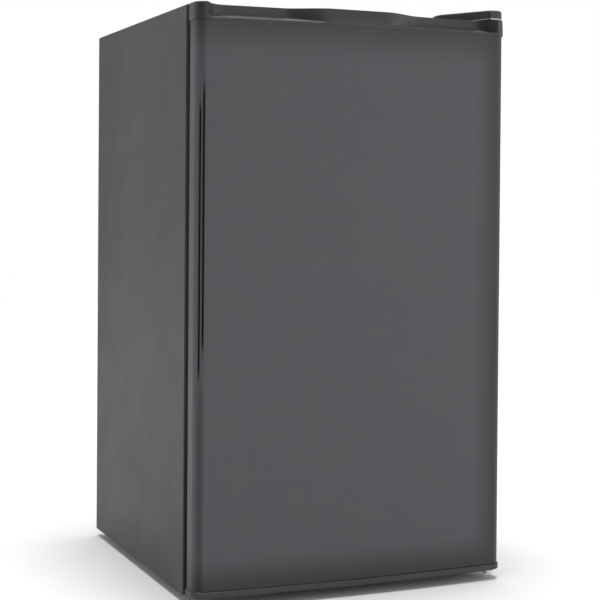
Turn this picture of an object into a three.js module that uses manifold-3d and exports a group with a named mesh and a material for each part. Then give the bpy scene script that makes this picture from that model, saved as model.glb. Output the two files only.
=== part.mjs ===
// A compact free-standing refrigerator with one reversible door, shown hinged on the right.
// Millimetres: +X to the right, +Y to the back, +Z up. The origin is on the floor under the middle of the box
// that holds the whole appliance.
import * as THREE from "three";
import { mergeVertices } from "three/addons/utils/BufferGeometryUtils.js";
import Module from "manifold-3d";

const wasm = await Module();
wasm.setup();

// ---------- driving dimensions ----------
const WIDTH = 493; // cabinet and door caps alike
const CABINET_DEPTH = 466; // steel cabinet, without the door
const SEAL_GAP = 11.6; // from the cabinet's front face to the back of the door
const DOOR_EDGE = 32.4; // door thickness where its front corners start
const DOOR_BOW = 10.5; // how far the middle of the door stands out past its edges
const DOOR_CORNER = 17; // radius of the door's upright front corners
const CABINET_TOP = 846;
const CABINET_BOTTOM = 12; // lower edge of the side walls
const DOOR_TOP = 845;
const DOOR_BOTTOM = 15;
const TOP_CAP = 25; // height of the door's moulded top end cap
const BOTTOM_CAP = 10;
const CAP_LEDGE = 4; // lip of the top cap under the finger scoops
const CAP_OVERHANG = 2; // how far the end caps stand out past the steel
const SHEET = 1.5; // steel sheet
const PLASTIC = 2; // vacuum-formed and moulded walls
const GAP = 0.3; // between pieces that touch
const WALL = 35; // cabinet wall: steel, foam and liner together
const FLANGE = 26; // the wrap's front flanges, which hold the door magnet

// ---------- places that follow from them ----------
const HALF = WIDTH / 2;
const BACK = (CABINET_DEPTH + SEAL_GAP + DOOR_EDGE + DOOR_BOW) / 2;
const FACE = BACK - CABINET_DEPTH; // the cabinet's front face
const DOOR_BACK = FACE - SEAL_GAP;
const DOOR_FRONT = -BACK; // the foremost line of the bowed door
const BOW_RADIUS = (HALF ** 2 + DOOR_BOW ** 2) / (2 * DOOR_BOW);
const BOW_CENTRE = DOOR_FRONT + BOW_RADIUS;
const PIN = { x: HALF - 14, y: DOOR_BACK - 14.65, radius: 4, bore: 4.3 };

const BAY = { front: 97, roof: 176 }; // the compressor bay at the bottom rear
const RAIL = { depth: 80, top: 36 }; // front cross rail
const ROOM = {
  // the food compartment, inside the liner
  half: HALF - WALL,
  floor: 45,
  ceiling: CABINET_TOP - WALL,
  back: 222,
  stepFront: 55, // the step over the compressor bay
  stepTop: 218,
};
const LEDGE = { reach: 6, height: 8, front: -110 };
const SHELF_HEIGHTS = [268, 368, 468]; // tops of the ledge pairs
const TRAY_RAIL = { top: 648, reach: 12 }; // the rails that carry the drip tray
const SCREW = { shank: 2.6, hole: 3, head: 5.5, headHeight: 2.2 };

// ---------- finishes ----------
const finish = {
  blackSteel: { color: 0x2b2d2f, roughness: 0.42, metalness: 0.35 },
  blackPlastic: { color: 0x1b1c1d, roughness: 0.45, metalness: 0 },
  whitePlastic: { color: 0xe9ebea, roughness: 0.35, metalness: 0 },
  clearPlastic: { color: 0xdfe6e8, roughness: 0.2, metalness: 0 },
  glass: { color: 0xcfe0dc, roughness: 0.05, metalness: 0 },
  foam: { color: 0xd9cfa4, roughness: 0.9, metalness: 0 },
  zinc: { color: 0xa9adb0, roughness: 0.4, metalness: 0.9 },
  aluminium: { color: 0xc4c8ca, roughness: 0.35, metalness: 0.9 },
  copper: { color: 0xb06a44, roughness: 0.35, metalness: 0.9 },
  blackEnamel: { color: 0x151617, roughness: 0.4, metalness: 0.3 },
  rubber: { color: 0x2a2a2a, roughness: 0.85, metalness: 0 },
};

// ---------- solids ----------
// A closed three.js geometry as a manifold solid, for joining and cutting.
function solid(geometry) {
  geometry.deleteAttribute("normal");
  geometry.deleteAttribute("uv");
  const merged = mergeVertices(geometry, 1e-3);
  return new wasm.Manifold(
    new wasm.Mesh({
      numProp: 3,
      vertProperties: merged.attributes.position.array,
      triVerts: new Uint32Array(merged.index.array),
    }),
  );
}

// A manifold solid as a named three.js mesh.
function mesh(name, look, shape) {
  const { vertProperties, triVerts } = shape.getMesh();
  const geometry = new THREE.BufferGeometry();
  geometry.setAttribute("position", new THREE.BufferAttribute(vertProperties, 3));
  geometry.setIndex(new THREE.BufferAttribute(triVerts, 1));
  geometry.computeVertexNormals();
  const made = new THREE.Mesh(geometry, new THREE.MeshStandardMaterial({ ...look }));
  made.name = name;
  return made;
}

function group(...children) {
  return new THREE.Group().add(...children);
}

function box(x0, x1, y0, y1, z0, z1) {
  const block = new THREE.BoxGeometry(x1 - x0, y1 - y0, z1 - z0);
  return solid(block.translate((x0 + x1) / 2, (y0 + y1) / 2, (z0 + z1) / 2));
}

// The same box on both sides of the middle plane X = 0.
function wideBox(half, y0, y1, z0, z1) {
  return box(-half, half, y0, y1, z0, z1);
}

// A box on one side, between two distances from the middle plane; side is -1 for left and 1 for right.
function sideBox(side, near, far, y0, y1, z0, z1) {
  return box(Math.min(side * near, side * far), Math.max(side * near, side * far), y0, y1, z0, z1);
}

// A plan outline (x, y) raised along Z. Each arc in it becomes twice curveSegments straight pieces.
function raised(outline, z0, z1, curveSegments = 6) {
  const made = new THREE.ExtrudeGeometry(outline, { depth: z1 - z0, bevelEnabled: false, curveSegments });
  return solid(made.translate(0, 0, z0));
}

// A front outline (x, z) run back along Y.
function runBack(outline, y0, y1, curveSegments = 4) {
  const made = new THREE.ExtrudeGeometry(outline, { depth: y1 - y0, bevelEnabled: false, curveSegments });
  return solid(made.rotateX(Math.PI / 2).translate(0, y1, 0));
}

// A side outline (y, z) run across along X.
function runAcross(outline, x0, x1, curveSegments = 4) {
  const made = new THREE.ExtrudeGeometry(outline, { depth: x1 - x0, bevelEnabled: false, curveSegments });
  const turn = new THREE.Matrix4().makeBasis(
    new THREE.Vector3(0, 1, 0),
    new THREE.Vector3(0, 0, 1),
    new THREE.Vector3(1, 0, 0),
  );
  return solid(made.applyMatrix4(turn).translate(x0, 0, 0));
}

function outlineOf(points) {
  return new THREE.Shape(points.map(([a, b]) => new THREE.Vector2(a, b)));
}

// A profile of [radius, height] pairs, from the axis round and back to it, turned about Z.
function turned(profile, sides = 16) {
  const made = new THREE.LatheGeometry(
    profile.map(([radius, height]) => new THREE.Vector2(radius, height)),
    sides,
  );
  return solid(made.rotateX(Math.PI / 2));
}

function post(radius, x, y, z0, z1, sides = 16) {
  const made = new THREE.CylinderGeometry(radius, radius, z1 - z0, sides);
  return solid(made.rotateX(Math.PI / 2).translate(x, y, (z0 + z1) / 2));
}

// A round tube or wire of solid section along a curve.
function along(curve, radius, sides, steps) {
  const section = new THREE.Shape();
  section.absarc(0, 0, radius, 0, 2 * Math.PI, false);
  const made = new THREE.ExtrudeGeometry(section, { extrudePath: curve, steps, curveSegments: sides / 2 });
  return solid(made);
}

function smoothCurve(points) {
  return new THREE.CatmullRomCurve3(
    points.map((p) => new THREE.Vector3(...p)),
    false,
    "centripetal",
  );
}

// ---------- cabinet ----------
// Front outline of the cabinet, with rounded top edges, taken in by inset.
function cabinetOutline(inset, bottom, edgeRadius) {
  const half = HALF - inset;
  const top = CABINET_TOP - inset;
  const outline = new THREE.Shape();
  outline.moveTo(-half, bottom);
  outline.lineTo(half, bottom);
  outline.absarc(half - edgeRadius, top - edgeRadius, edgeRadius, 0, Math.PI / 2, false);
  outline.absarc(-half + edgeRadius, top - edgeRadius, edgeRadius, Math.PI / 2, Math.PI, false);
  return outline;
}

const EDGE_RADIUS = 4; // top edges of the wrap
const REAR_FLANGE = 12;
const TOP_SCREWS = [
  [200, FACE + 36],
  [226, FACE + 36],
];

function cabinetWrap() {
  const inside = cabinetOutline(SHEET, CABINET_BOTTOM - 1, EDGE_RADIUS - SHEET);
  const frontOpening = wideBox(HALF - FLANGE, FACE - 1, FACE + SHEET + 1, 0, CABINET_TOP - FLANGE);
  const rearOpening = wideBox(
    HALF - REAR_FLANGE, BACK - SHEET - 1, BACK + 1, 0, CABINET_TOP - REAR_FLANGE,
  );
  let wrap = runBack(cabinetOutline(0, CABINET_BOTTOM, EDGE_RADIUS), FACE, BACK)
    .subtract(runBack(inside, FACE + SHEET, BACK - SHEET))
    .subtract(frontOpening)
    .subtract(rearOpening);
  for (const [x, y] of TOP_SCREWS) {
    for (const side of [-1, 1]) {
      wrap = wrap.subtract(post(SCREW.hole, side * x, y, CABINET_TOP - 10, CABINET_TOP + 1, 12));
    }
  }
  return mesh("cabinet_wrap", finish.blackSteel, wrap);
}

// The bay is closed above and in front by this stepped sheet, which is also the cabinet's floor.
function basePan() {
  const inner = BAY.front;
  const floor = CABINET_BOTTOM + 1;
  const outline = outlineOf([
    [FACE + RAIL.depth + GAP, floor],
    [inner + SHEET, floor],
    [inner + SHEET, BAY.roof],
    [BACK - SHEET - 2, BAY.roof],
    [BACK - SHEET - 2, BAY.roof + SHEET],
    [inner, BAY.roof + SHEET],
    [inner, floor + SHEET],
    [FACE + RAIL.depth + GAP, floor + SHEET],
  ]);
  let pan = runAcross(outline, -HALF + SHEET + GAP, HALF - SHEET - GAP);
  for (const hole of ROOF_HOLES) {
    pan = pan.subtract(post(hole.radius, hole.x, hole.y, BAY.roof - 5, BAY.roof + 5, 12));
  }
  return mesh("base_pan", finish.zinc, pan);
}

// Side outline of the food compartment, grown by grow: the room itself at 0, the liner's back at PLASTIC.
function roomOutline(grow, front) {
  return outlineOf([
    [front, ROOM.floor - grow],
    [ROOM.stepFront + grow, ROOM.floor - grow],
    [ROOM.stepFront + grow, ROOM.stepTop - grow],
    [ROOM.back + grow, ROOM.stepTop - grow],
    [ROOM.back + grow, ROOM.ceiling + grow],
    [front, ROOM.ceiling + grow],
  ]);
}

function room(grow, front) {
  return runAcross(roomOutline(grow, front), -ROOM.half - grow, ROOM.half + grow);
}

function innerLiner() {
  const lip = wideBox(HALF - FLANGE - GAP, FACE, FACE + PLASTIC, RAIL.top + GAP, CABINET_TOP - FLANGE - GAP);
  let liner = room(PLASTIC, FACE).add(lip).subtract(room(0, FACE - 1));
  const wallSide = ROOM.half + PLASTIC / 2;
  const wallBack = ROOM.back + PLASTIC / 2;
  for (const side of [-1, 1]) {
    for (const top of SHELF_HEIGHTS) {
      const near = ROOM.half - LEDGE.reach;
      liner = liner.add(sideBox(side, near, wallSide, LEDGE.front, wallBack, top - LEDGE.height, top));
    }
    const rail = sideBox(
      side, ROOM.half - TRAY_RAIL.reach, wallSide, LEDGE.front, wallBack,
      TRAY_RAIL.top - LEDGE.height, TRAY_RAIL.top,
    );
    liner = liner.add(rail);
  }
  return mesh("inner_liner", finish.whitePlastic, liner);
}

const COIL = { front: -160, back: 200, low: 230, pitch: 110, runs: 5, radius: 2.4 };

function insulationFoam() {
  const clear = PLASTIC + 0.5;
  const coilTop = COIL.low + COIL.pitch * (COIL.runs - 1);
  const pocket = 2 * COIL.radius + 2.5;
  let foam = runBack(
    cabinetOutline(SHEET + 0.4, CABINET_BOTTOM + SHEET + 1.4, EDGE_RADIUS - SHEET),
    FACE + PLASTIC + 0.5,
    BACK - SHEET - 2.4,
  )
    .subtract(room(clear, FACE - 1))
    .subtract(wideBox(HALF, FACE, FACE + RAIL.depth + 1, 0, RAIL.top + 0.5))
    .subtract(wideBox(HALF, BAY.front - 0.5, BACK, 0, BAY.roof + SHEET + 0.5));
  for (const side of [-1, 1]) {
    const recess = sideBox(
      side, HALF - SHEET - pocket, HALF, COIL.front - 25, COIL.back + 20, COIL.low - 10, coilTop + 10,
    );
    foam = foam.subtract(recess);
    for (const [x, y] of TOP_SCREWS) {
      foam = foam.subtract(post(SCREW.hole + 1, side * x, y, CABINET_TOP - 20, CABINET_TOP, 8));
    }
  }
  for (const hole of ROOF_HOLES) {
    foam = foam.subtract(box(hole.x - 8, hole.x + 8, hole.y - 8, hole.y + 8, BAY.roof, BAY.roof + 24));
  }
  return mesh("insulation_foam", finish.foam, foam);
}

function frontCrossRail() {
  const [low, high] = [CABINET_BOTTOM + GAP, RAIL.top];
  const end = FACE + RAIL.depth;
  const outline = outlineOf([
    [FACE, low],
    [end, low],
    [end, low + SHEET],
    [FACE + SHEET, low + SHEET],
    [FACE + SHEET, high - SHEET],
    [end, high - SHEET],
    [end, high],
    [FACE, high],
  ]);
  const reach = HALF - SHEET - GAP; // behind the wrap's front flanges
  let rail = runAcross(outline, -reach, reach);
  for (const side of [-1, 1]) {
    const corner = sideBox(side, HALF - FLANGE - GAP, HALF, FACE - 1, FACE + SHEET + GAP, 0, RAIL.top + 1);
    const nut = post(8, side * FRONT_FOOT.x, FRONT_FOOT.y, low + SHEET / 2, low + 8, 12);
    const thread = post(FRONT_FOOT.stud + GAP, side * FRONT_FOOT.x, FRONT_FOOT.y, 0, low + 20, 12);
    rail = rail.add(nut).subtract(thread).subtract(corner);
  }
  for (const [x, y] of BOTTOM_SCREWS) {
    rail = rail.subtract(post(SCREW.hole, x, y, 0, low + 10, 12));
  }
  return mesh("front_cross_rail", finish.zinc, rail);
}

// The flat steel back, held inside the wrap's rear flanges.
function backPanel() {
  const sheet = wideBox(
    HALF - SHEET - 0.5, BACK - 2 * SHEET - GAP, BACK - SHEET - GAP, BAY.roof + SHEET + 0.5,
    CABINET_TOP - SHEET - EDGE_RADIUS,
  );
  return mesh("back_panel", finish.zinc, sheet);
}

// ---------- compressor bay ----------
const CROSSBAR = { front: 112, back: 252, bottom: CABINET_BOTTOM + GAP, lip: 24 };
const COMPRESSOR = { x: 40, y: 178, plate: 24, radius: 70 };
const GROMMETS = [-1, 1].flatMap((i) => [-1, 1].map((j) => [COMPRESSOR.x + i * 85, COMPRESSOR.y + j * 48]));
const GLAND = { x: -150, z: 44, hole: 8, bore: 4.2 };
const SUCTION_HOLE = { x: -50, y: 222, radius: 5.5 };
const DISCHARGE_HOLE = { x: 130, y: 222, radius: 4.5 };
const DRIER_HOLE = { x: 180, y: 200, radius: 4.5 };
const ROOF_HOLES = [SUCTION_HOLE, DISCHARGE_HOLE, DRIER_HOLE];

function compressorCrossbar() {
  const { front, back, bottom, lip } = CROSSBAR;
  const floor = bottom + 2;
  const outline = outlineOf([
    [front, bottom],
    [back, bottom],
    [back, lip],
    [back - 2, lip],
    [back - 2, floor],
    [front + 2, floor],
    [front + 2, lip],
    [front, lip],
  ]);
  const tab = box(GLAND.x - 20, GLAND.x + 20, back - 2, back, lip - 2, GLAND.z + 16);
  const hole = new THREE.CylinderGeometry(GLAND.hole, GLAND.hole, 20, 16);
  let bar = runAcross(outline, -HALF + SHEET + GAP, HALF - SHEET - GAP).add(tab);
  bar = bar.subtract(solid(hole.translate(GLAND.x, back, GLAND.z)));
  return mesh("compressor_crossbar", finish.zinc, bar);
}

// Welded steel shell on a four-legged mounting plate.
function compressor() {
  const { plate, radius } = COMPRESSOR;
  const shell = turned([
    [0, plate + 1],
    [44, plate + 1],
    [62, 36],
    [radius, 52],
    [radius, 84],
    [radius + 2, 86],
    [radius + 2, 90],
    [radius, 92],
    [radius, 118],
    [60, 138],
    [36, 149],
    [0, 153],
  ], 20);
  const wing = (depth) => box(-98, 98, depth - 12, depth + 12, plate, plate + 2.5);
  let body = shell.add(wing(-48)).add(wing(48)).add(box(-44, 44, -50, 50, plate, plate + 2.5));
  const terminals = box(-radius - 3, -radius + 10, -12, 12, 72, 96);
  body = body.add(terminals);
  for (const [x, y] of GROMMETS) {
    body = body.subtract(post(6, x - COMPRESSOR.x, y - COMPRESSOR.y, plate - 1, plate + 4, 12));
  }
  const made = mesh("compressor", finish.blackEnamel, body);
  made.position.set(COMPRESSOR.x, COMPRESSOR.y, 0);
  return made;
}

function grommet(name, [x, y]) {
  const floor = CROSSBAR.bottom + 2 + GAP;
  const plate = COMPRESSOR.plate;
  const shape = turned([
    [0, floor],
    [10, floor],
    [10, plate - GAP],
    [5.5, plate - GAP],
    [5.5, plate + 2.8],
    [9, plate + 2.8],
    [9, plate + 5],
    [0, plate + 5],
  ], 8);
  const made = mesh(name, finish.rubber, shape);
  made.position.set(x, y, 0);
  return made;
}

function relayCover() {
  const right = COMPRESSOR.x - COMPRESSOR.radius - 3 - GAP;
  const cover = new THREE.Shape();
  const [half, low, high, corner] = [24, 62, 108, 6];
  cover.absarc(COMPRESSOR.y + half - corner, low + corner, corner, -Math.PI / 2, 0, false);
  cover.absarc(COMPRESSOR.y + half - corner, high - corner, corner, 0, Math.PI / 2, false);
  cover.absarc(COMPRESSOR.y - half + corner, high - corner, corner, Math.PI / 2, Math.PI, false);
  cover.absarc(COMPRESSOR.y - half + corner, low + corner, corner, Math.PI, 1.5 * Math.PI, false);
  return mesh("relay_cover", finish.blackPlastic, runAcross(cover, right - 30, right, 3));
}

// A point outside the compressor's shell, at a distance from its wall and a bearing in degrees from +X.
function besideShell(bearing, distance, z) {
  const angle = THREE.MathUtils.degToRad(bearing);
  const reach = COMPRESSOR.radius + distance;
  return [COMPRESSOR.x + reach * Math.cos(angle), COMPRESSOR.y + reach * Math.sin(angle), z];
}

function refrigerantTubes() {
  const inFoam = BAY.roof + 20;
  const suction = smoothCurve([
    besideShell(135, 0.6, 100),
    besideShell(135, 8, 101),
    [SUCTION_HOLE.x + 14, SUCTION_HOLE.y + 7, 116],
    [SUCTION_HOLE.x, SUCTION_HOLE.y, 142],
    [SUCTION_HOLE.x, SUCTION_HOLE.y, 165],
    [SUCTION_HOLE.x, SUCTION_HOLE.y, inFoam],
  ]);
  const discharge = smoothCurve([
    besideShell(8, 0.6, 70),
    besideShell(9, 9, 71),
    besideShell(14, 20, 84),
    [DISCHARGE_HOLE.x, DISCHARGE_HOLE.y - 8, 115],
    [DISCHARGE_HOLE.x, DISCHARGE_HOLE.y, 150],
    [DISCHARGE_HOLE.x, DISCHARGE_HOLE.y, inFoam],
  ]);
  const process = smoothCurve([
    besideShell(-16, 0.6, 76),
    besideShell(-16, 9, 77),
    besideShell(-16, 17, 86),
    besideShell(-16, 19, 120),
  ]);
  return group(
    mesh("suction_tube", finish.copper, along(suction, 4, 8, 16)),
    mesh("discharge_tube", finish.copper, along(discharge, 3, 8, 18)),
    mesh("process_tube", finish.copper, along(process, 3, 8, 9)),
  );
}

// The drier hangs from the bay's roof by the condenser's outlet and ends in the start of the capillary.
function filterDrier() {
  const shape = turned([
    [0, 50],
    [1.5, 50],
    [1.5, 66],
    [9, 76],
    [9, 138],
    [3, 148],
    [3, BAY.roof + 20],
    [0, BAY.roof + 20],
  ], 12);
  const made = mesh("filter_drier", finish.copper, shape);
  made.position.set(DRIER_HOLE.x, DRIER_HOLE.y, 0);
  return made;
}

// Level runs joined by half-round bends, climbing one side wall.
class Serpentine extends THREE.Curve {
  constructor(x) {
    super();
    this.x = x;
    this.bend = COIL.pitch / 2;
    this.run = COIL.back - COIL.front - 2 * this.bend;
    this.turn = Math.PI * this.bend;
    this.length = COIL.runs * this.run + (COIL.runs - 1) * this.turn;
  }

  getPoint(t) {
    const distance = t * this.length;
    const leg = Math.min(Math.floor(distance / (this.run + this.turn)), COIL.runs - 1);
    const into = distance - leg * (this.run + this.turn);
    const backwards = leg % 2 === 0;
    const z = COIL.low + leg * COIL.pitch;
    const start = backwards ? COIL.front + this.bend : COIL.back - this.bend;
    const way = backwards ? 1 : -1;
    if (into <= this.run) return new THREE.Vector3(this.x, start + way * into, z);
    const angle = (into - this.run) / this.bend;
    return new THREE.Vector3(
      this.x,
      start + way * (this.run + this.bend * Math.sin(angle)),
      z + this.bend * (1 - Math.cos(angle)),
    );
  }
}

function condenserCoil(name, side) {
  const x = side * (HALF - SHEET - GAP - COIL.radius - 0.2);
  return mesh(name, finish.copper, along(new Serpentine(x), COIL.radius, 6, 64));
}

function cordGland() {
  const thick = 2;
  const made = mesh("cord_gland", finish.blackPlastic, turned([
    [GLAND.bore, -6],
    [12, -6],
    [12, -GAP],
    [GLAND.hole - GAP, -GAP],
    [GLAND.hole - GAP, thick + GAP],
    [12, thick + GAP],
    [12, thick + 4],
    [GLAND.bore, thick + 6],
    [GLAND.bore, -6],
  ], 16));
  made.position.set(GLAND.x, CROSSBAR.back - thick, GLAND.z);
  made.rotation.x = -Math.PI / 2;
  return made;
}

// ---------- feet ----------
const FRONT_FOOT = { x: 205, y: FACE + 58, radius: 15, stud: 4 };
const REAR_FOOT = { x: 205, y: 235, radius: 14 };

function frontFoot(name, side) {
  const { radius, stud } = FRONT_FOOT;
  const pad = turned([
    [0, 0],
    [radius - 1.5, 0],
    [radius, 1.5],
    [radius, 8],
    [stud, 8],
    [stud, 30],
    [0, 30],
  ], 16);
  // Four notches in the rim take the fingers that turn the foot.
  const notches = [0, 1, 2, 3].map((i) => {
    const angle = (i * Math.PI) / 2 + Math.PI / 4;
    return post(3, (radius + 1) * Math.cos(angle), (radius + 1) * Math.sin(angle), -1, 9, 8);
  });
  const made = mesh(name, finish.blackPlastic, notches.reduce((foot, notch) => foot.subtract(notch), pad));
  made.position.set(side * FRONT_FOOT.x, FRONT_FOOT.y, 0);
  return made;
}

function rearFoot(name, side) {
  const { radius } = REAR_FOOT;
  const made = mesh(name, finish.blackPlastic, turned([
    [0, 0],
    [radius - 2, 0],
    [radius, 2],
    [radius, CABINET_BOTTOM],
    [0, CABINET_BOTTOM],
  ], 16));
  made.position.set(side * REAR_FOOT.x, REAR_FOOT.y, 0);
  return made;
}

// ---------- hinges ----------
const TOP_PLATE = { low: CABINET_TOP + GAP, high: CABINET_TOP + GAP + 2.5 };
const BOTTOM_PLATE = { low: 9, high: 11.7 };
const BOTTOM_SCREWS = [
  [208, FACE + 14],
  [208, FACE + 32],
];
const COVER = { bottom: CABINET_TOP + GAP, top: CABINET_TOP + 14, wall: 2 };

// An arm that reaches out over the pin, on a plate that is screwed down behind it.
function bracketOutline(plateX, shoulder, plateBack) {
  const outline = new THREE.Shape();
  const armHalf = 8.5;
  outline.moveTo(plateX, plateBack);
  outline.lineTo(plateX, shoulder);
  outline.lineTo(PIN.x - armHalf, FACE - 14);
  outline.absarc(PIN.x, PIN.y, armHalf, Math.PI, 2 * Math.PI, false);
  outline.lineTo(PIN.x + armHalf, plateBack);
  return outline;
}

function drilled(plate, screws, low, high) {
  return [...screws, [PIN.x, PIN.y]].reduce((drilledSoFar, [x, y], i) => {
    const radius = i < screws.length ? SCREW.hole : PIN.bore;
    return drilledSoFar.subtract(post(radius, x, y, low - 1, high + 1, 16));
  }, plate);
}

function screw(name, [x, y], seat, length, upsideDown = false) {
  const made = mesh(name, finish.zinc, turned([
    [0, -length],
    [SCREW.shank, -length],
    [SCREW.shank, GAP],
    [SCREW.head, GAP],
    [SCREW.head, SCREW.headHeight - 0.6],
    [SCREW.head - 1.2, SCREW.headHeight],
    [0, SCREW.headHeight],
  ], 12));
  made.position.set(x, y, seat);
  if (upsideDown) made.rotation.x = Math.PI;
  return made;
}

function topHinge() {
  const { low, high } = TOP_PLATE;
  const plate = raised(bracketOutline(182, FACE + 40, FACE + 50), low, high, 4);
  const pin = mesh("top_hinge_pin", finish.zinc, turned([
    [0, DOOR_TOP - 17],
    [PIN.radius - 1, DOOR_TOP - 17],
    [PIN.radius, DOOR_TOP - 15],
    [PIN.radius, high + GAP],
    [7, high + GAP],
    [7, high + 2.5],
    [0, high + 2.5],
  ], 16));
  pin.position.set(PIN.x, PIN.y, 0);
  return group(
    mesh("top_hinge_bracket", finish.zinc, drilled(plate, TOP_SCREWS, low, high)),
    pin,
    ...TOP_SCREWS.map((place, i) => screw(`top_hinge_screw_${i + 1}`, place, high, 12)),
  );
}

function bottomHinge() {
  const { low, high } = BOTTOM_PLATE;
  const plate = raised(bracketOutline(197, FACE + 6, FACE + 41), low, high, 4);
  const pin = mesh("bottom_hinge_pin", finish.zinc, turned([
    [0, low - 2.5],
    [7, low - 2.5],
    [7, low - GAP],
    [PIN.radius, low - GAP],
    [PIN.radius, DOOR_BOTTOM + 15],
    [PIN.radius - 1, DOOR_BOTTOM + 17],
    [0, DOOR_BOTTOM + 17],
  ], 16));
  pin.position.set(PIN.x, PIN.y, 0);
  return group(
    mesh("bottom_hinge_bracket", finish.zinc, drilled(plate, BOTTOM_SCREWS, low, high)),
    pin,
    ...BOTTOM_SCREWS.map((place, i) => screw(`bottom_hinge_screw_${i + 1}`, place, low, 14, true)),
  );
}

// Plan of the cover over the top hinge: square to the cabinet behind, slanting in at the front left.
function coverOutline(inset) {
  const [right, front, back] = [HALF - 1 - inset, PIN.y - 11 + inset, FACE + 64 - inset];
  const corner = Math.max(9 - inset, 2);
  const outline = new THREE.Shape();
  outline.moveTo(172 + inset * 1.3, back);
  outline.lineTo(172 + inset * 1.3, FACE + 46);
  outline.lineTo(216 + inset * 0.6, front);
  outline.absarc(right - corner, front + corner, corner, -Math.PI / 2, 0, false);
  outline.lineTo(right, back);
  return outline;
}

function topHingeCover() {
  const shell = raised(coverOutline(0), COVER.bottom, COVER.top - 3, 4)
    .add(raised(coverOutline(1), COVER.top - 4, COVER.top - 1, 4))
    .add(raised(coverOutline(3), COVER.top - 2, COVER.top, 4))
    .subtract(raised(coverOutline(COVER.wall), COVER.bottom - 1, COVER.top - COVER.wall - 3, 4));
  return mesh("top_hinge_cover", finish.blackPlastic, shell);
}

// Plugs close the screw holes of the hinge on the side it isn't fitted to.
function holePlug(name, [x, y]) {
  const made = mesh(name, finish.blackPlastic, turned([
    [0, CABINET_TOP - 8],
    [SCREW.hole - GAP, CABINET_TOP - 8],
    [SCREW.hole - GAP, CABINET_TOP + GAP],
    [7, CABINET_TOP + GAP],
    [6, CABINET_TOP + 2],
    [0, CABINET_TOP + 2],
  ], 12));
  made.position.set(-x, y, 0);
  return made;
}

// ---------- door ----------
// Plan of the door, taken in by inset: flat behind, rounded front corners and a bowed front.
function doorPlan(inset, back = DOOR_BACK + inset) {
  const half = HALF - inset;
  const radius = BOW_RADIUS - inset;
  const corner = DOOR_CORNER - inset;
  const cornerX = half - corner;
  const cornerY = BOW_CENTRE - Math.sqrt((radius - corner) ** 2 - cornerX ** 2);
  const lean = Math.asin(cornerX / (radius - corner));
  const outline = new THREE.Shape();
  outline.moveTo(-half, back);
  outline.lineTo(-half, cornerY);
  outline.absarc(-cornerX, cornerY, corner, Math.PI, 1.5 * Math.PI - lean, false);
  outline.absarc(0, BOW_CENTRE, radius, 1.5 * Math.PI - lean, 1.5 * Math.PI + lean, false);
  outline.absarc(cornerX, cornerY, corner, 1.5 * Math.PI + lean, 2 * Math.PI, false);
  outline.lineTo(half, back);
  return outline;
}

const SKIRT = 12; // the door steel's flanges behind
const SCOOP = { depth: 29, padHalf: 44, rampEnd: 112, flatEnd: 206, end: 232, points: 18 };
const GRIP = { low: 322, high: 742, radius: 1.1, angles: [235, 257] };

// How far a finger scoop's back wall lies behind the bowed front, at a distance x from the middle.
function scoopDepth(x) {
  const ramp = THREE.MathUtils.smoothstep(x, SCOOP.padHalf, SCOOP.rampEnd);
  const wall = 1 - THREE.MathUtils.smoothstep(x, SCOOP.flatEnd, SCOOP.end);
  return SCOOP.depth * Math.min(ramp, wall);
}

function scoopCutter(side) {
  const points = [];
  for (let i = 0; i <= SCOOP.points; i += 1) {
    const x = SCOOP.padHalf + ((SCOOP.end - SCOOP.padHalf) * i) / SCOOP.points;
    const bow = BOW_CENTRE - Math.sqrt(BOW_RADIUS ** 2 - x ** 2);
    points.push([side * x, bow + scoopDepth(x) - 0.01]);
  }
  points.push([side * SCOOP.end, DOOR_FRONT - 5], [side * SCOOP.padHalf, DOOR_FRONT - 5]);
  if (side < 0) points.reverse();
  return raised(outlineOf(points), DOOR_TOP - TOP_CAP + CAP_LEDGE, DOOR_TOP + 1);
}

const BUSH = { body: 7, flange: 9, pocket: 7.3, flangePocket: 9.3, flangeHeight: 2, length: 19 };

function bushPocket(x, mouth, way) {
  const span = (from, to) => [mouth + way * from, mouth + way * to].sort((a, b) => a - b);
  return post(BUSH.pocket, x, PIN.y, ...span(-1, BUSH.length + GAP))
    .add(post(BUSH.flangePocket, x, PIN.y, ...span(-1, BUSH.flangeHeight + GAP)));
}

function doorTopCap() {
  const low = DOOR_TOP - TOP_CAP + GAP;
  const cap = raised(doorPlan(0, DOOR_BACK), low, DOOR_TOP)
    .subtract(scoopCutter(-1))
    .subtract(scoopCutter(1))
    .subtract(bushPocket(PIN.x, DOOR_TOP, -1))
    .subtract(bushPocket(-PIN.x, DOOR_TOP, -1));
  return mesh("door_top_cap", finish.blackPlastic, cap);
}

function doorBottomCap() {
  const top = DOOR_BOTTOM + BOTTOM_CAP;
  const boss = (x) => post(BUSH.flange + 2, x, PIN.y, top - 1, DOOR_BOTTOM + BUSH.length + 4, 16);
  const cap = raised(doorPlan(0, DOOR_BACK), DOOR_BOTTOM, top)
    .add(boss(PIN.x).intersect(raised(doorPlan(CAP_OVERHANG + SHEET + 0.5), top - 2, top + 40)))
    .subtract(bushPocket(PIN.x, DOOR_BOTTOM, 1));
  return mesh("door_bottom_cap", finish.blackPlastic, cap);
}

// A bush turns on its hinge pin; its open end is at z = 0 and its flange there.
function bush(name, mouth, way) {
  const made = mesh(name, finish.whitePlastic, turned([
    [PIN.bore, GAP],
    [BUSH.flange, GAP],
    [BUSH.flange, BUSH.flangeHeight],
    [BUSH.body, BUSH.flangeHeight],
    [BUSH.body, BUSH.length],
    [0, BUSH.length],
    [0, BUSH.length - 1.2],
    [PIN.bore, BUSH.length - 1.2],
    [PIN.bore, GAP],
  ], 16));
  made.position.set(PIN.x, PIN.y, mouth);
  if (way < 0) made.rotation.x = Math.PI;
  return made;
}

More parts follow.
